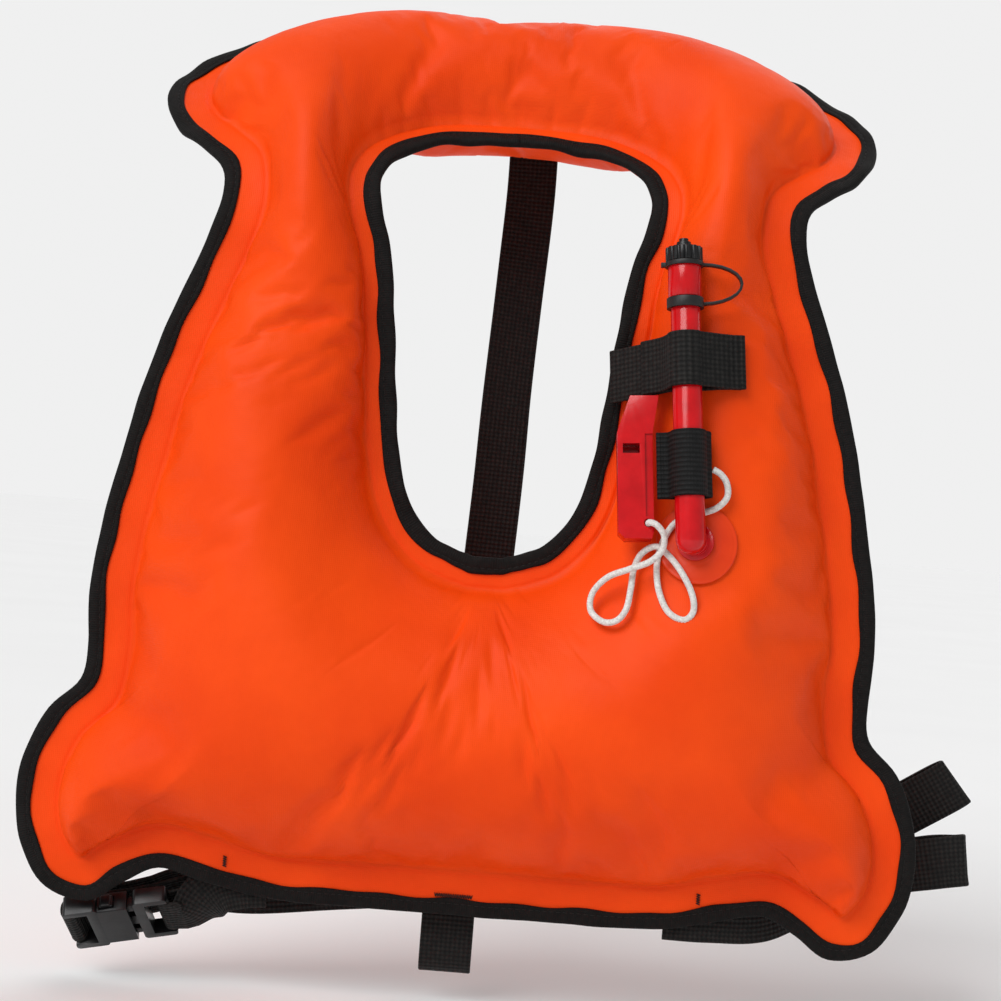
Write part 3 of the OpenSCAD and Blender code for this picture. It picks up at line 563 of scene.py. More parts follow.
NYLON_PITCH = 0.0009
nylon = Finish("orange_coated_nylon", 0.5, Specular_IOR_Level=0.14)
nylon.colours(nylon.noise(18, 4), (0.84, 0.056, 0.0015), (0.96, 0.078, 0.003))
nylon.spread(nylon.noise(60, 2), 0.42, 0.56)
nylon_weave = nylon.math("MULTIPLY", nylon.ribs(0, NYLON_PITCH), nylon.ribs(1, NYLON_PITCH))
nylon.relief((nylon.noise(120, 3), 0.0004), (nylon_weave, 0.00006))
front_panel = panel_piece("front_panel_cloth", front_chamber, 1)
back_panel = panel_piece("back_panel_cloth", back_chamber, -1)
for panel, node in ((front_panel, "front_panel"), (back_panel, "back_panel")):
    panel.data.materials.append(nylon.material)
    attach(panel, "vest")
    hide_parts(node)

# ---- Folded edge tape -------------------------------------------------------
# Black grosgrain tape, folded over both cut edges of the cloth and stitched
# through with one row of black thread. It waves a little with the seam under it.
TAPE_WIDTH = 6.5
TAPE_T = 0.9
TAPE_GAP = 0.25
TAPE_IN = WELD_GAP / 2 + WALL + TAPE_GAP
TAPE_OUT = TAPE_IN + TAPE_T
STITCHED_AT = 2.6
# Half of the section, from the open lip to the fold: (distance inside the edge, lift)
TAPE_HALF = [(TAPE_WIDTH, TAPE_IN), (TAPE_WIDTH + 0.1, TAPE_IN + 0.5),
             (TAPE_WIDTH - 0.3, TAPE_OUT), (TAPE_WIDTH - 1.6, TAPE_OUT + 0.1),
             (TAPE_WIDTH - 2.2, TAPE_OUT - 0.15), (TAPE_WIDTH - 2.8, TAPE_OUT + 0.15),
             (STITCHED_AT, TAPE_OUT + 0.25), (1.2, TAPE_OUT + 0.2), (0, TAPE_OUT),
             (-0.8, TAPE_OUT - 0.5), (-1.15, 0.6)]
TAPE_SECTION = (TAPE_HALF + [(d, -h) for d, h in TAPE_HALF[::-1]]
                + [(-TAPE_GAP, -TAPE_IN), (-TAPE_GAP, TAPE_IN)])
LIP_WAVE = 0.45
LIP_WAVE_LENGTH = 31
SLOW_WAVE_SHARE = 0.6


def tape_piece(name, edge, weld, width, node):
    """The folded tape round one edge; its two lips wave in and out along the cloth."""
    lengths = step_lengths(edge)
    along = np.concatenate([[0], np.cumsum(lengths)[:-1]])
    turn = along / lengths.sum() * 2 * math.pi
    waves = round(lengths.sum() / LIP_WAVE_LENGTH)
    slow_wave = np.sin((waves // 2 + 3) * turn + 2)
    lip = LIP_WAVE * (np.sin(waves * turn + 0.7) + SLOW_WAVE_SHARE * slow_wave)
    rings = []
    for distance, lift in TAPE_SECTION:
        reach_in = np.clip((distance - STITCHED_AT) / (TAPE_WIDTH - STITCHED_AT), 0, 1)
        wavy = distance + lip * reach_in
        share = (1 - wavy / width)[:, None]
        points = weld + (edge - weld) * share
        rings.append(place(points, lift + ripple(np.clip(share[:, 0], 0, 1.1), edge)))
    rings = np.stack(rings, 1)
    uv = np.zeros((*rings.shape[:2], 2))
    uv[..., 0] = np.linspace(0, 2 * TAPE_WIDTH * MM, rings.shape[1])[None, :]
    uv[..., 1] = along[:, None] * MM
    piece = ringed_piece(name, rings, uv, looped=True)
    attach(piece, "vest")
    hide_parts(node)
    return piece


grosgrain = Finish("black_grosgrain", 0.75, Specular_IOR_Level=0.2)
grosgrain.colours(grosgrain.noise(400), (0.0025, 0.002, 0.0018), (0.0065, 0.0055, 0.005))
grosgrain.relief((grosgrain.ribs(1, 0.0011), 0.00012), (grosgrain.noise(1500), 0.00005))
outer_tape = tape_piece("outer_edge_tape", fine_outer_edge, fine_outer_weld, OUTER_SEAM,
                        "outer_binding")
neck_tape = tape_piece("neck_edge_tape", fine_neck_edge, fine_neck_weld, NECK_SEAM,
                       "neck_binding")
for tape in (outer_tape, neck_tape):
    tape.data.materials.append(grosgrain.material)

# One row of stitches round each tape, near its inner lip, on both faces
STITCH_PITCH = 3.2
STITCH_LENGTH = 2.3
STITCH_R = 0.22
STITCH_INSET = TAPE_WIDTH - 2.2
STITCH_SIDES = 5
# How a stitch swells along its length: (place from -0.5 to 0.5, share of its radius)
STITCH_SPINDLE = ((-0.5, 0.3), (-0.25, 1), (0.25, 1), (0.5, 0.3))


def stitch_row(edge, weld, width):
    """Small humps of thread along one tape, on its front and its back."""
    verts, faces = [], []
    for side in (1, -1):
        share = np.full(loop_n, 1 - STITCH_INSET / width)
        line = place(weld + (edge - weld) * share[:, None],
                     side * (TAPE_OUT - 0.05) + ripple(share, edge))
        closed = np.concatenate([line, line[:1]])
        spots, _ = evenly(closed, STITCH_PITCH / 2)
        runs = units(np.gradient(spots, axis=0))
        for spot, run in zip(spots[::2], runs[::2]):
            out = units(np.cross(run, (1e-3, 0, 1.0)))
            up = np.cross(run, out)
            first = len(verts)
            for t, r in STITCH_SPINDLE:
                for k in range(STITCH_SIDES):
                    a = 2 * math.pi * k / STITCH_SIDES
                    verts.append(spot + run * t * STITCH_LENGTH
                                 + STITCH_R * r * (math.cos(a) * out + math.sin(a) * up))
            last = len(verts) - STITCH_SIDES
            for ring in range(first, last, STITCH_SIDES):
                for k in range(STITCH_SIDES):
                    a, b = ring + k, ring + (k + 1) % STITCH_SIDES
                    faces.append((a, b, b + STITCH_SIDES, a + STITCH_SIDES))
            faces.append(tuple(first + k for k in range(STITCH_SIDES))[::-1])
            faces.append(tuple(last + k for k in range(STITCH_SIDES)))
    return verts, faces


thread = Finish("black_thread", 0.6, Specular_IOR_Level=0.3)
thread.colours(thread.noise(2500), (0.004, 0.0035, 0.003), (0.010, 0.009, 0.008))
thread.relief((thread.noise(6000), 0.00004))
for name, edge, weld, width in (
        ("outer_tape_stitches", fine_outer_edge, fine_outer_weld, OUTER_SEAM),
        ("neck_tape_stitches", fine_neck_edge, fine_neck_weld, NECK_SEAM)):
    stitches = mesh_piece(name, *stitch_row(edge, weld, width))
    stitches.data.materials.append(thread.material)
    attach(stitches, "vest")

# ---- Stitched bars ----------------------------------------------------------
# Close zigzag bars of black thread on the hem, two short and one long, which
# hold the belt and the back strap behind it.
ZIGZAG_PITCH = 0.55
ZIGZAG_R = 0.26
ZIGZAG_STEP = 0.3


def zigzag_bar(low, high):
    """A thread going to and fro over the bar's box, front face up."""
    long_way = 0 if high[0] - low[0] > high[2] - low[2] else 2
    cross_way = 2 - long_way
    count = int((high[long_way] - low[long_way]) / ZIGZAG_PITCH)
    path = []
    for k in range(count + 1):
        point = [0.0, (low[1] + high[1]) / 2, 0.0]
        point[long_way] = low[long_way] + k * ZIGZAG_PITCH
        point[cross_way] = low[cross_way] if k % 2 else high[cross_way]
        path.append(point)
    return evenly(np.array(path), ZIGZAG_STEP)[0]


def round_tube(path, radius, sides):
    """Rings of a plain round tube along a path."""
    across, up = carried_sides(path)
    angles = np.arange(sides) * 2 * math.pi / sides
    return (path[:, None] + radius * (np.cos(angles)[None, :, None] * across[:, None]
                                      + np.sin(angles)[None, :, None] * up[:, None]))


def solids_of(node):
    """The corners of each separate solid of a CAD node, in millimetres."""
    shell = bmesh.new()
    shell.from_mesh(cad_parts[node].data)
    bmesh.ops.remove_doubles(shell, verts=shell.verts, dist=1e-6)
    left, boxes = set(shell.verts), []
    while left:
        grown, edge_of = set(), [left.pop()]
        while edge_of:
            vert = edge_of.pop()
            grown.add(vert)
            for link in vert.link_edges:
                other = link.other_vert(vert)
                if other in left:
                    left.discard(other)
                    edge_of.append(other)
        points = np.array([v.co for v in grown]) / MM
        boxes.append((points.min(0), points.max(0)))
    shell.free()
    return sorted(boxes, key=lambda box: box[0][0])


for count, (low, high) in enumerate(solids_of("bar_tacks")):
    bar = ringed_piece(f"stitched_bar_{count + 1}",
                       round_tube(zigzag_bar(low, high), ZIGZAG_R, 6))
    bar.data.materials.append(thread.material)
    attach(bar, "vest")
    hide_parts("bar_tacks")

# ---- Belt, buckle strap and back strap --------------------------------------
# Black woven webbing, 25 mm wide. The belt is sewn behind the hem, doubled beside
# the right lobe and goes round the socket's bar; the back strap is sewn to the
# collar and loops round the belt.
WEBBING_WIDTH = 25
WEBBING_T = 1.5
STRAP_STEP = 1.6
FACE_POINTS, EDGE_POINTS = 9, 4
WOVEN_EDGE, EDGE_EXTRA = 2, 0.12
SOCKET_LENGTH = 30
BUCKLE_T = 10
BUCKLE_POS = np.array([-184.0, 17, -362])
BUCKLE_TURN, BUCKLE_ROLL = math.radians(-12), math.radians(50)
BAR_R = 2
BAR_WRAP = BAR_R + 0.3 + WEBBING_T / 2 + 0.1
BEHIND_BUCKLE = BUCKLE_T / 2 + 0.3 + WEBBING_T / 2
SOCKET_FRAME = 11
PLUG_BAR_X = SOCKET_LENGTH + 17


def turned(point, about_x, about_y):
    """A point turned about X and then about Y, as a rolled and tilted piece is."""
    return Matrix.Rotation(about_y, 3, "Y") @ Matrix.Rotation(about_x, 3, "X") @ Vector(point)


def on_buckle(pairs):
    """Places in the buckle's own frame as route rows, the width along its width."""
    across = turned((0, 0, 1), BUCKLE_ROLL, BUCKLE_TURN)
    return [(*(Vector(BUCKLE_POS) + turned((x, y, 0), BUCKLE_ROLL, BUCKLE_TURN)), *across)
            for x, y in pairs]


def round_bar(x, first, last):
    """Webbing going round a buckle's bar from one angle to another, in degrees."""
    angles = [math.radians(first + (last - first) * k / 4) for k in range(5)]
    return [(x + BAR_WRAP * math.cos(a), BAR_WRAP * math.sin(a)) for a in angles]


def laid(route):
    """Route points (x, y, z, turn); turn tips an upright width towards +X."""
    return [(x, y, z, math.sin(math.radians(a)), 0, math.cos(math.radians(a)))
            for x, y, z, a in route]


def strap_section(width, thickness):
    """Webbing's section: flat faces, and woven edges rounded and a little thicker."""
    flat = width / 2 - thickness / 2
    top = [(x, thickness / 2 * (1 + (EDGE_EXTRA if abs(x) > flat - WOVEN_EDGE else 0)))
           for x in np.linspace(-flat, flat, FACE_POINTS)]
    edge = [(flat + thickness / 2 * math.sin(a), thickness / 2 * math.cos(a))
            for a in np.linspace(0, math.pi, EDGE_POINTS + 2)[1:-1]]
    return top + edge + [(-x, -y) for x, y in top] + [(-x, -y) for x, y in edge]


def strap_piece(name, rows, width, thickness, steps=8):
    """Webbing swept along rows of a middle point and its width's direction."""
    path, along = evenly(smooth_row(rows, steps), STRAP_STEP)
    run = units(np.gradient(path[:, :3], axis=0))
    across = units(path[:, 3:] - (path[:, 3:] * run).sum(1, keepdims=True) * run)
    up = np.cross(run, across)
    section = np.array(strap_section(width, thickness))
    rings = (path[:, None, :3] + section[None, :, :1] * across[:, None]
             + section[None, :, 1:] * up[:, None])
    uv = np.zeros((*rings.shape[:2], 2))
    uv[..., 0] = section[None, :, 0] * MM
    uv[..., 1] = along[:, None] * MM
    return ringed_piece(name, rings, uv)


# The belt goes out from the hem round the right lobe, back behind the vest to the
# socket, round its bar and back again: (x, y, z, turn)
BELT_OUT = [
    (96, 3.6, -332, 0), (118, 4.4, -332, 0), (146, 14, -331, 0), (176, 36, -320, -4),
    (205, 38, -309, -8), (228, 33, -303, -8), (240, 34, -301, -8), (243, 38, -301, -8),
    (240, 42, -302, -8), (226, 45, -304, -8), (200, 46, -311, -8), (165, 40, -324, -4),
    (125, 31, -331, 0), (70, 27, -330, 0), (-5, 24, -329, 0), (-55, 25, -334, 0),
    (-96, 33, -341, -6)]
BELT_BACK = [
    (-96, 38, -341, -6), (-55, 30, -334, 0), (-5, 29, -329, 0),
    (70, 32, -329, 0), (125, 36, -328, 0), (158, 47, -318, -14), (190, 54, -297, -34),
    (215, 53, -281, -40), (233, 51, -269, -41), (239, 54, -265, -41),
    (233, 58, -269, -41), (212, 60, -283, -40), (186, 61, -299, -34), (165, 60, -311, -20)]
AT_SOCKET = ([(PLUG_BAR_X + 8, BEHIND_BUCKLE + 4), (PLUG_BAR_X - 8, BEHIND_BUCKLE + 1.5),
              (20, BEHIND_BUCKLE + 1), (SOCKET_FRAME + 1, BEHIND_BUCKLE + 0.6),
              (SOCKET_FRAME - 2.5, 5), (BAR_R + 4, 2.4)] + round_bar(BAR_R, 0, -180)
             + [(-0.4, 4.5), (4, BEHIND_BUCKLE + 1.5), (20, BEHIND_BUCKLE + 4),
                (PLUG_BAR_X - 8, BEHIND_BUCKLE + 6), (PLUG_BAR_X + 8, BEHIND_BUCKLE + 9)])
HEM_TO_PLUG = [(-92, 3.6, -332, 0), (-105, 4.6, -334, -6), (-116, 8, -339, -10)]
AT_PLUG = ([(PLUG_BAR_X + 10, -BAR_WRAP - 0.2), (PLUG_BAR_X + 4, -BAR_WRAP - 0.2)]
           + round_bar(PLUG_BAR_X, -90, -270)
           + [(PLUG_BAR_X + 5, BAR_WRAP + 0.2), (PLUG_BAR_X + 18, BAR_WRAP + 1.5)])
STRAP = [
    (8, 111, 94, 0), (8, 105.5, 87.5, 0), (8, 106, 77, 0), (8, 109, 64, 0), (7, 109, 44, 0),
    (7, 104, 10, 0), (5, 97, -40, 12), (3, 88, -90, 12), (2, 80, -135, 0),
    (0, 71, -185, 0), (-2, 62, -235, 0), (-4, 53, -282, 0), (-5, 44, -318, 0),
    (-5, 39, -340, 0), (-5, 36, -360, 0), (-5, 33, -368, 0), (-5, 27, -372, 0),
    (-5, 20, -368, 0), (-5, 16, -356, 0), (-5, 16, -334, 0), (-5, 20, -318, 0),
    (-5, 33, -308, 0), (-4.5, 43, -300, 0)]
belt = strap_piece("belt_webbing", laid(BELT_OUT) + on_buckle(AT_SOCKET) + laid(BELT_BACK),
                   WEBBING_WIDTH, WEBBING_T)
short_strap = strap_piece("buckle_strap_webbing", laid(HEM_TO_PLUG) + on_buckle(AT_PLUG),
                          WEBBING_WIDTH, WEBBING_T)
back_strap = strap_piece("back_strap_webbing",
                         [(x, y, z, math.cos(math.radians(a)), math.sin(math.radians(a)), 0)
                          for x, y, z, a in STRAP], WEBBING_WIDTH, WEBBING_T)


def webbing_finish(name, rib_pitch, yarn_pitch):
    """Black webbing: yarns across it in staggered ribs, with painted highlights on their crowns
    and painted shade between them.
    """
    finish = Finish(name, 0.7, Specular_IOR_Level=0.25)
    weave = finish.diamonds(yarn_pitch, rib_pitch)
    # The colour follows the weave's height: painted highlight on the yarn crowns, painted shade
    # in the hollows between them
    finish.colours(finish.math("MULTIPLY", weave, finish.noise(350)),
                   (0.0018, 0.0016, 0.0015), (0.022, 0.020, 0.018), 0.1, 0.7)
    finish.relief((weave, 0.0006), (finish.noise(1800), 0.00008))
    return finish.material


webbing_black = webbing_finish("black_woven_webbing", 0.0022, 0.0022)
for strap, node in ((belt, "waist_belt"), (short_strap, "buckle_strap"),
                    (back_strap, "back_strap")):
    strap.data.materials.append(webbing_black)
    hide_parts(node)
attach(short_strap, "vest")
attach(back_strap, "vest")
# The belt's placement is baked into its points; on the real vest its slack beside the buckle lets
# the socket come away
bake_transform(belt)

# ---- Buckle -----------------------------------------------------------------
# A side-release buckle moulded in black acetal: a socket with a bar for the belt,
# a plug with its own bar, and two sprung prongs that click into the socket.
EDGE_ANGLE = math.radians(30)
FLAT_ANGLE = math.radians(0.6)
SAME_POINT = 2e-6


def moulded(node, name, body, material, rounding, segments=2):
    """A CAD node's shape with its edges rounded as the mould leaves them."""
    shell = bmesh.new()
    shell.from_mesh(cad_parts[node].data)
    bmesh.ops.remove_doubles(shell, verts=shell.verts, dist=SAME_POINT)
    bmesh.ops.dissolve_limit(shell, angle_limit=FLAT_ANGLE, verts=shell.verts,
                             edges=shell.edges)
    bmesh.ops.recalc_face_normals(shell, faces=shell.faces)
    mesh = bpy.data.meshes.new(name)
    shell.to_mesh(mesh)
    shell.free()
    piece = placed(name, mesh)
    bevel = piece.modifiers.new("mould rounding", "BEVEL")
    bevel.width = rounding * MM
    bevel.segments = segments
    bevel.limit_method = "ANGLE"
    bevel.angle_limit = EDGE_ANGLE
    bevel.harden_normals = True
    mesh.materials.append(material)
    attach(piece, body)
    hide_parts(node)
    return piece


acetal = Finish("black_moulded_acetal", 0.34, Specular_IOR_Level=0.4)
acetal.colours(acetal.noise(250), (0.003, 0.003, 0.0035), (0.008, 0.008, 0.009))
acetal.spread(acetal.noise(160, 4), 0.26, 0.42)
acetal.relief((acetal.noise(2200), 0.00003), (acetal.noise(90), 0.00012))
moulded("buckle_socket", "socket_moulding", "socket", acetal.material, 1.0, 3)
moulded("buckle_plug", "plug_moulding", "vest", acetal.material, 0.9, 3)
moulded("plug_prongs", "prong_mouldings", "vest", acetal.material, 0.7, 3)

# ---- Inflation tube ---------------------------------------------------------
# A glossy red PVC tube with a rounded elbow at its foot. Its spigot plugs into a
# flange, which is welded to the chest under a round film patch.
TUBE_R = 6.7
TUBE_LENGTH = 118
TUBE_TILT, TUBE_LEAN = math.radians(-5.2), math.radians(-8)
TUBE_FOOT = (89.5, -155.5)
TUBE_STAND = TUBE_R + CORD_D + 3


def front_y(x, z):
    """Where the front of the swollen chest lies, forward being negative."""
    return -(WELD_GAP / 2 + WALL + puff([[x, z]])[0])


def chest_at(x, z):
    """How far forward the chest lies at a place of the tube's frame."""
    c, s = math.cos(TUBE_TILT), math.sin(-TUBE_TILT)
    return (front_y(TUBE_FOOT[0] + x * c - z * s, TUBE_FOOT[1] + x * s + z * c)
            * math.cos(TUBE_LEAN) + z * math.sin(TUBE_LEAN))


tube_level = min(chest_at(0, z) for z in range(0, TUBE_LENGTH + 1, 10)) - TUBE_STAND
TUBE_ORIGIN = Vector((TUBE_FOOT[0], tube_level / math.cos(TUBE_LEAN), TUBE_FOOT[1]))


def on_tube(points):
    """Places in the tube's own frame, z up the tube, moved to the vest's frame."""
    return np.array([TUBE_ORIGIN + turned(p, TUBE_LEAN, TUBE_TILT) for p in points])


pvc = Finish("red_gloss_pvc", 0.16, Specular_IOR_Level=0.35, Coat_Weight=0.12,
             Coat_Roughness=0.05)
pvc.colours(pvc.noise(120), (0.52, 0.002, 0.005), (0.66, 0.004, 0.008))
pvc.spread(pvc.noise(70, 4), 0.14, 0.26)
pvc.relief((pvc.noise(70), 0.0002), (pvc.noise(1500), 0.00001))
moulded("inflation_tube", "tube_moulding", "vest", pvc.material, 0.4)
moulded("weld_flange", "flange_moulding", "vest", pvc.material, 0.5)

# The patch is a thin film, welded in two rings over the orange cloth
PATCH_R = 18
PATCH_HOLE = 6.5
PATCH_T = 0.5
PATCH_LIFT = 0.3
PATCH_RINGS = 26
PATCH_SIDES = 96
WELD_RINGS = (9.5, 16.6)
FILM_DENT = 0.1
DENT_WIDTH = 0.7
THIN_EDGE = 0.35
patch_low, patch_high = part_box("weld_patch")
PATCH_CENTRE = ((patch_low.x + patch_high.x) / 2 / MM, (patch_low.z + patch_high.z) / 2 / MM)
patch_top = []
for radius in np.linspace(PATCH_HOLE, PATCH_R, PATCH_RINGS):
    dent = sum(FILM_DENT * math.exp(-((radius - r) / DENT_WIDTH) ** 2) for r in WELD_RINGS)
    lift = PATCH_LIFT + PATCH_T * (THIN_EDGE if radius == PATCH_R else 1) - dent
    for k in range(PATCH_SIDES):
        a = 2 * math.pi * k / PATCH_SIDES
        patch_top.append((PATCH_CENTRE[0] + radius * math.cos(a),
                          PATCH_CENTRE[1] + radius * math.sin(a), lift))
patch_top = np.array(patch_top)
patch_y = -(WELD_GAP / 2 + WALL + puff(patch_top[:, :2]))
film_front = np.stack([patch_top[:, 0], patch_y - patch_top[:, 2], patch_top[:, 1]], 1)
film_back = np.stack([patch_top[:, 0], patch_y - PATCH_LIFT, patch_top[:, 1]], 1)
film_rings = np.concatenate([film_front.reshape(PATCH_RINGS, PATCH_SIDES, 3),
                             film_back.reshape(PATCH_RINGS, PATCH_SIDES, 3)[::-1]])
weld_film = ringed_piece("weld_film_patch", film_rings, looped=True)
film = Finish("welded_film", 0.36, Specular_IOR_Level=0.3)
film.colours(film.noise(60), (0.76, 0.040, 0.002), (0.86, 0.056, 0.003))
film.relief((film.noise(250), 0.00015))
weld_film.data.materials.append(film.material)
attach(weld_film, "vest")
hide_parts("weld_patch")

# ---- Mouth valve ------------------------------------------------------------
# A red housing on the tube's end holds the seat, the sprung stem and its seal. A
# black knurled ring screws down over the neck to lock it, and a soft black tether
# with two rings stays on the tube.
moulded("valve_housing", "housing_moulding", "vest", pvc.material, 0.5)
moulded("lock_ring", "lock_ring_moulding", "ring", acetal.material, 0.25)
moulded("valve_stem", "stem_moulding", "stem", acetal.material, 0.25)
moulded("valve_seat", "seat_moulding", "vest", acetal.material, 0.15)
rubber = Finish("soft_black_rubber", 0.5)
rubber.colours(rubber.noise(300), (0.004, 0.004, 0.004), (0.010, 0.010, 0.010))
rubber.relief((rubber.noise(1600), 0.00004))
moulded("cap_tether", "tether_moulding", "vest", rubber.material, 0.25)
moulded("stem_seal", "seal_moulding", "stem", rubber.material, 0.15)
steel = Finish("bright_spring_steel", 0.3, Metallic=1.0)
steel.colours(steel.noise(600), (0.50, 0.50, 0.48), (0.66, 0.66, 0.63))
steel.relief((steel.noise(3000), 0.00002))
spring = moulded("valve_spring", "spring_wire", "vest", steel.material, 0.05)
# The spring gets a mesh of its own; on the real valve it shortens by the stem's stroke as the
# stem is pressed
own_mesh(spring)

# ---- Band and elastic on the tube -------------------------------------------
# A webbing band comes from the neck seam and passes under the tube; its flap folds
# back over the tube and closes on hook and loop tape. Lower down a ribbed elastic
# is folded round the tube and sewn to itself.
BAND_Z = 81
BAND_LEFT, BAND_FOLD, BRIDGE_X = -32, 25, -5
BAND_STEP = 3
FLAP_LEFT = -14
ELASTIC_WIDTH, ELASTIC_T, ELASTIC_Z = 30, 1.2, 34
SEAT_GAP, SOFT_GAP, PATCH_GAP, HOOK_T = 0.3, 0.5, 0.2, 0.9
UNDER_TUBE = TUBE_R + SEAT_GAP + WEBBING_T / 2 + 0.1
NECK_END_Y = (-TAPE_OUT - SOFT_GAP - WEBBING_T / 2 - tube_level
              + BAND_Z * math.sin(TUBE_LEAN))


def base_y(x):
    """Depth of the band under the tube: level with it, then down to the neck seam."""
    if x < BRIDGE_X:
        return (UNDER_TUBE + (NECK_END_Y - UNDER_TUBE) * (BRIDGE_X - x)
                / (BRIDGE_X - BAND_LEFT))
    lowest = min(chest_at(x, BAND_Z + s * WEBBING_WIDTH / 2) - tube_level for s in (-1, 0, 1))
    return min(UNDER_TUBE, lowest - SOFT_GAP - WEBBING_T / 2)


def level_strip(name, path, height, width, thickness):
    """A strip across the tube along (x, y) points, its width up the tube."""
    across = turned((0, 0, 1), TUBE_LEAN, TUBE_TILT)
    rows = [(*p, *across) for p in on_tube([(x, y, height) for x, y in path])]
    return strap_piece(name, rows, width, thickness, 6)


base_path = [(x, base_y(x)) for x in range(BAND_LEFT, BAND_FOLD + 1, BAND_STEP)]
base_slope = units(np.array([BRIDGE_X - BAND_LEFT, UNDER_TUBE - NECK_END_Y]))
BASE_UP = np.array([base_slope[1], -base_slope[0]])


def over_base(x, lift):
    """A place on the band under the flap, lifted square to the band."""
    return tuple(np.array([x, base_y(x)]) + lift * BASE_UP)


LOOP_LIFT = WEBBING_T / 2 + PATCH_GAP + HOOK_T / 2
HOOK_LIFT = LOOP_LIFT + HOOK_T + PATCH_GAP
FLAP_LIFT = HOOK_LIFT + HOOK_T / 2 + PATCH_GAP + WEBBING_T / 2
FOLD_Y = base_y(BAND_FOLD) - WEBBING_T - SEAT_GAP
HUMP_R = TUBE_R + SEAT_GAP + WEBBING_T / 2 + 0.2
hump = [(HUMP_R * math.cos(math.radians(a)), HUMP_R * math.sin(math.radians(a)))
        for a in range(-25, -186, -20)]
flap_path = ([(BAND_FOLD + 0.4, FOLD_Y), (BAND_FOLD - 4, FOLD_Y - 1)] + hump
             + [over_base(FLAP_LEFT + 6, FLAP_LIFT), over_base(FLAP_LEFT - 2, FLAP_LIFT)])
band = level_strip("band_webbing", base_path, BAND_Z, WEBBING_WIDTH, WEBBING_T)
flap = level_strip("band_flap_webbing", flap_path, BAND_Z, WEBBING_WIDTH, WEBBING_T)
# The fold itself is a round roll on the line that the flap opens about
FOLD_R = WEBBING_T + SEAT_GAP / 2
FOLD_SIDES = 16
FOLD_LINE = (BAND_FOLD + 0.6, FOLD_Y + 0.6)
FOLD_STOPS = np.linspace(-0.49, 0.49, 9) * WEBBING_WIDTH
fold_rings = round_tube(on_tube([(*FOLD_LINE, BAND_Z + stop) for stop in FOLD_STOPS]),
                        FOLD_R, FOLD_SIDES)
fold_uv = np.zeros((*fold_rings.shape[:2], 2))
fold_uv[..., 0] = FOLD_STOPS[:, None] * MM
fold_uv[..., 1] = np.linspace(0, 2 * math.pi * FOLD_R, FOLD_SIDES)[None, :] * MM
band_fold = ringed_piece("band_fold_webbing", fold_rings, fold_uv)
band_weave = webbing_finish("black_band_webbing", 0.0026, 0.0022)
for strip, node, body in ((band, "band_base", "vest"), (flap, "band_flap", "flap"),
                          (band_fold, "band_base", "vest")):
    strip.data.materials.append(band_weave)
    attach(strip, body)
    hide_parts(node)

WRAP_R = TUBE_R + SEAT_GAP + ELASTIC_T / 2
ELASTIC_TAIL = -14
wrap = [(WRAP_R * math.cos(math.radians(a)), WRAP_R * math.sin(math.radians(a)))
        for a in range(180, 361, 20)]
elastic_path = ([(ELASTIC_TAIL, 4.2), (ELASTIC_TAIL + 4, 4.2), (-WRAP_R - 0.6, 2.4)] + wrap
                + [(10, 2.5), (9, 5.4), (5, WRAP_R), (0, WRAP_R + 0.2), (-5, WRAP_R),
                   (ELASTIC_TAIL + 4, 6.4), (ELASTIC_TAIL, 6.2)])
elastic = level_strip("elastic_webbing", elastic_path, ELASTIC_Z, ELASTIC_WIDTH, ELASTIC_T)
ribbed = Finish("black_ribbed_elastic", 0.7, Specular_IOR_Level=0.25)
rib_lines = ribbed.ribs(0, 0.0021)
cross_lines = ribbed.ribs(1, 0.0012)
# The colour follows the ribs' height: painted highlight on the rib crowns, painted shade in the
# furrows between them
ribbed.colours(ribbed.math("MULTIPLY", rib_lines, ribbed.noise(500)),
               (0.002, 0.002, 0.002), (0.012, 0.012, 0.0125), 0.1, 0.6)
ribbed.relief((rib_lines, 0.0005), (cross_lines, 0.0001))
elastic.data.materials.append(ribbed.material)
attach(elastic, "vest")
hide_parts("elastic_loop")

# Hook and loop tape stays between the band and its flap
hook_tape = Finish("hook_and_loop_tape", 0.85, Sheen_Weight=0.4)
hook_tape.colours(hook_tape.noise(1400), (0.012, 0.011, 0.010), (0.045, 0.042, 0.038))
hook_tape.relief((hook_tape.noise(2600), 0.0006))
for node, body in (("loop_patch", "vest"), ("hook_patch", "flap")):
    moulded(node, node + "_tape", body, hook_tape.material, 0.2)

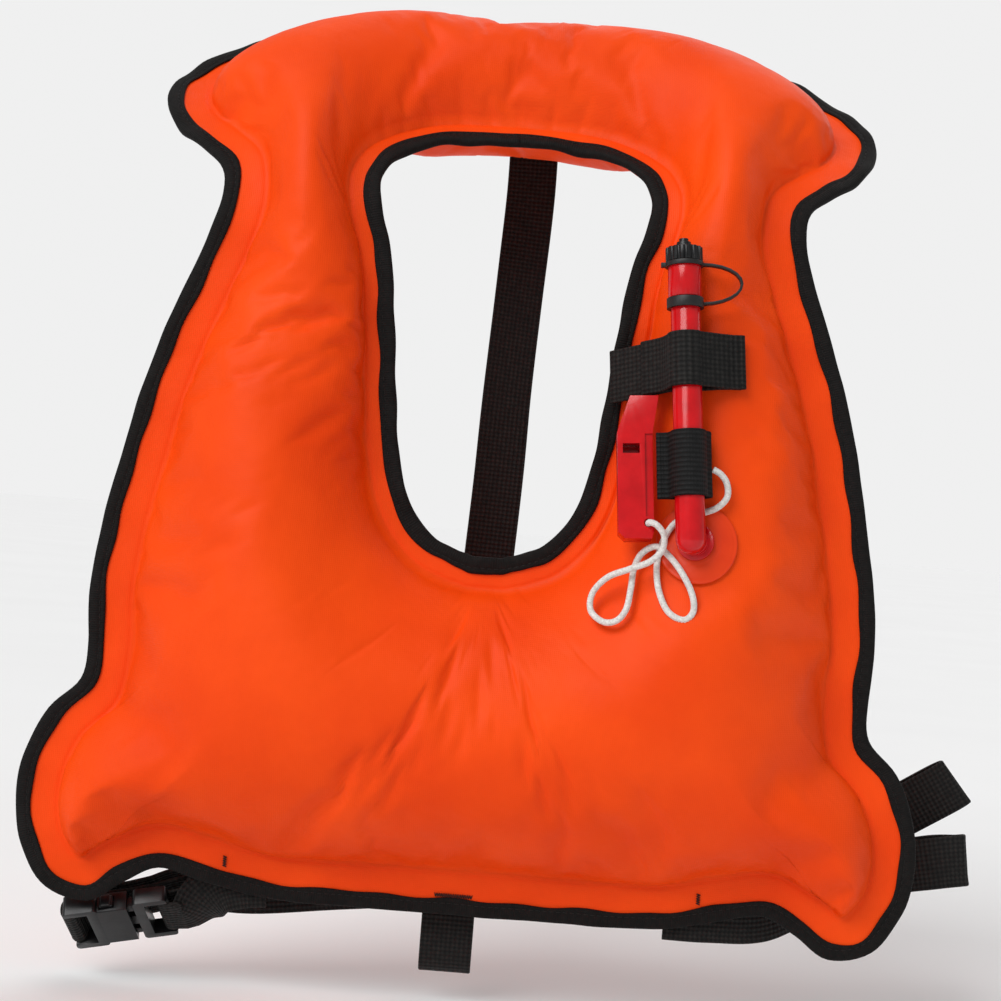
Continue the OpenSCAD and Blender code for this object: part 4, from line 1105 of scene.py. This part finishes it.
# ---- Whistle ----------------------------------------------------------------
# A flat red whistle moulded in hard plastic, with a slanted mouthpiece, a window
# in its face, a rib down its right side and an eye for the cord.
moulded("whistle", "whistle_moulding", "whistle_body", pvc.material, 0.7, 3)

# ---- Floor and light --------------------------------------------------------
# A plain pale floor under the vest, a broad soft light from the upper left, a
# weaker one from behind, and an even white surround.
FLOOR_DROP = 0.012
FLOOR_SIZE = 30
# (name, where it comes from, strength, how many degrees wide it looks)
LIGHTS = [("soft_light", (-0.6, -0.75, 0.8), 2.0, 40), ("back_light", (0.5, 0.9, 0.9), 0.8, 60)]
SURROUND_LIGHT = 0.4
SURROUND_SEEN = 0.87
floor_shape = bmesh.new()
bmesh.ops.create_grid(floor_shape, x_segments=4, y_segments=4, size=FLOOR_SIZE / 2)
floor_mesh = bpy.data.meshes.new("floor")
floor_shape.to_mesh(floor_mesh)
floor_shape.free()
floor = bpy.data.objects.new("floor", floor_mesh)
floor.location.z = cad_low.z - FLOOR_DROP
bpy.context.scene.collection.objects.link(floor)
paper = Finish("pale_paper", 0.9)
paper.colours(paper.noise(3), (0.88, 0.88, 0.88), (0.9, 0.9, 0.9))
floor.data.materials.append(paper.material)
for name, come_from, strength, width in LIGHTS:
    lamp = bpy.data.lights.new(name, "SUN")
    lamp.energy = strength
    lamp.angle = math.radians(width)
    light = bpy.data.objects.new(name, lamp)
    light.location = come_from
    light.rotation_euler = Vector(come_from).to_track_quat("Z", "Y").to_euler()
    bpy.context.scene.collection.objects.link(light)
world = bpy.data.worlds.new("studio")
bpy.context.scene.world = world
world.use_nodes = True
surround = world.node_tree.nodes["Background"]
surround.inputs["Color"].default_value = (1, 1, 1, 1)
seen = world.node_tree.nodes.new("ShaderNodeLightPath")
brightness = world.node_tree.nodes.new("ShaderNodeMapRange")
brightness.inputs["To Min"].default_value = SURROUND_LIGHT
brightness.inputs["To Max"].default_value = SURROUND_SEEN
studio_links = world.node_tree.links
studio_links.new(seen.outputs["Is Camera Ray"], brightness.inputs["Value"])
studio_links.new(brightness.outputs[0], surround.inputs["Strength"])
bpy.context.scene.view_settings.view_transform = "Standard"
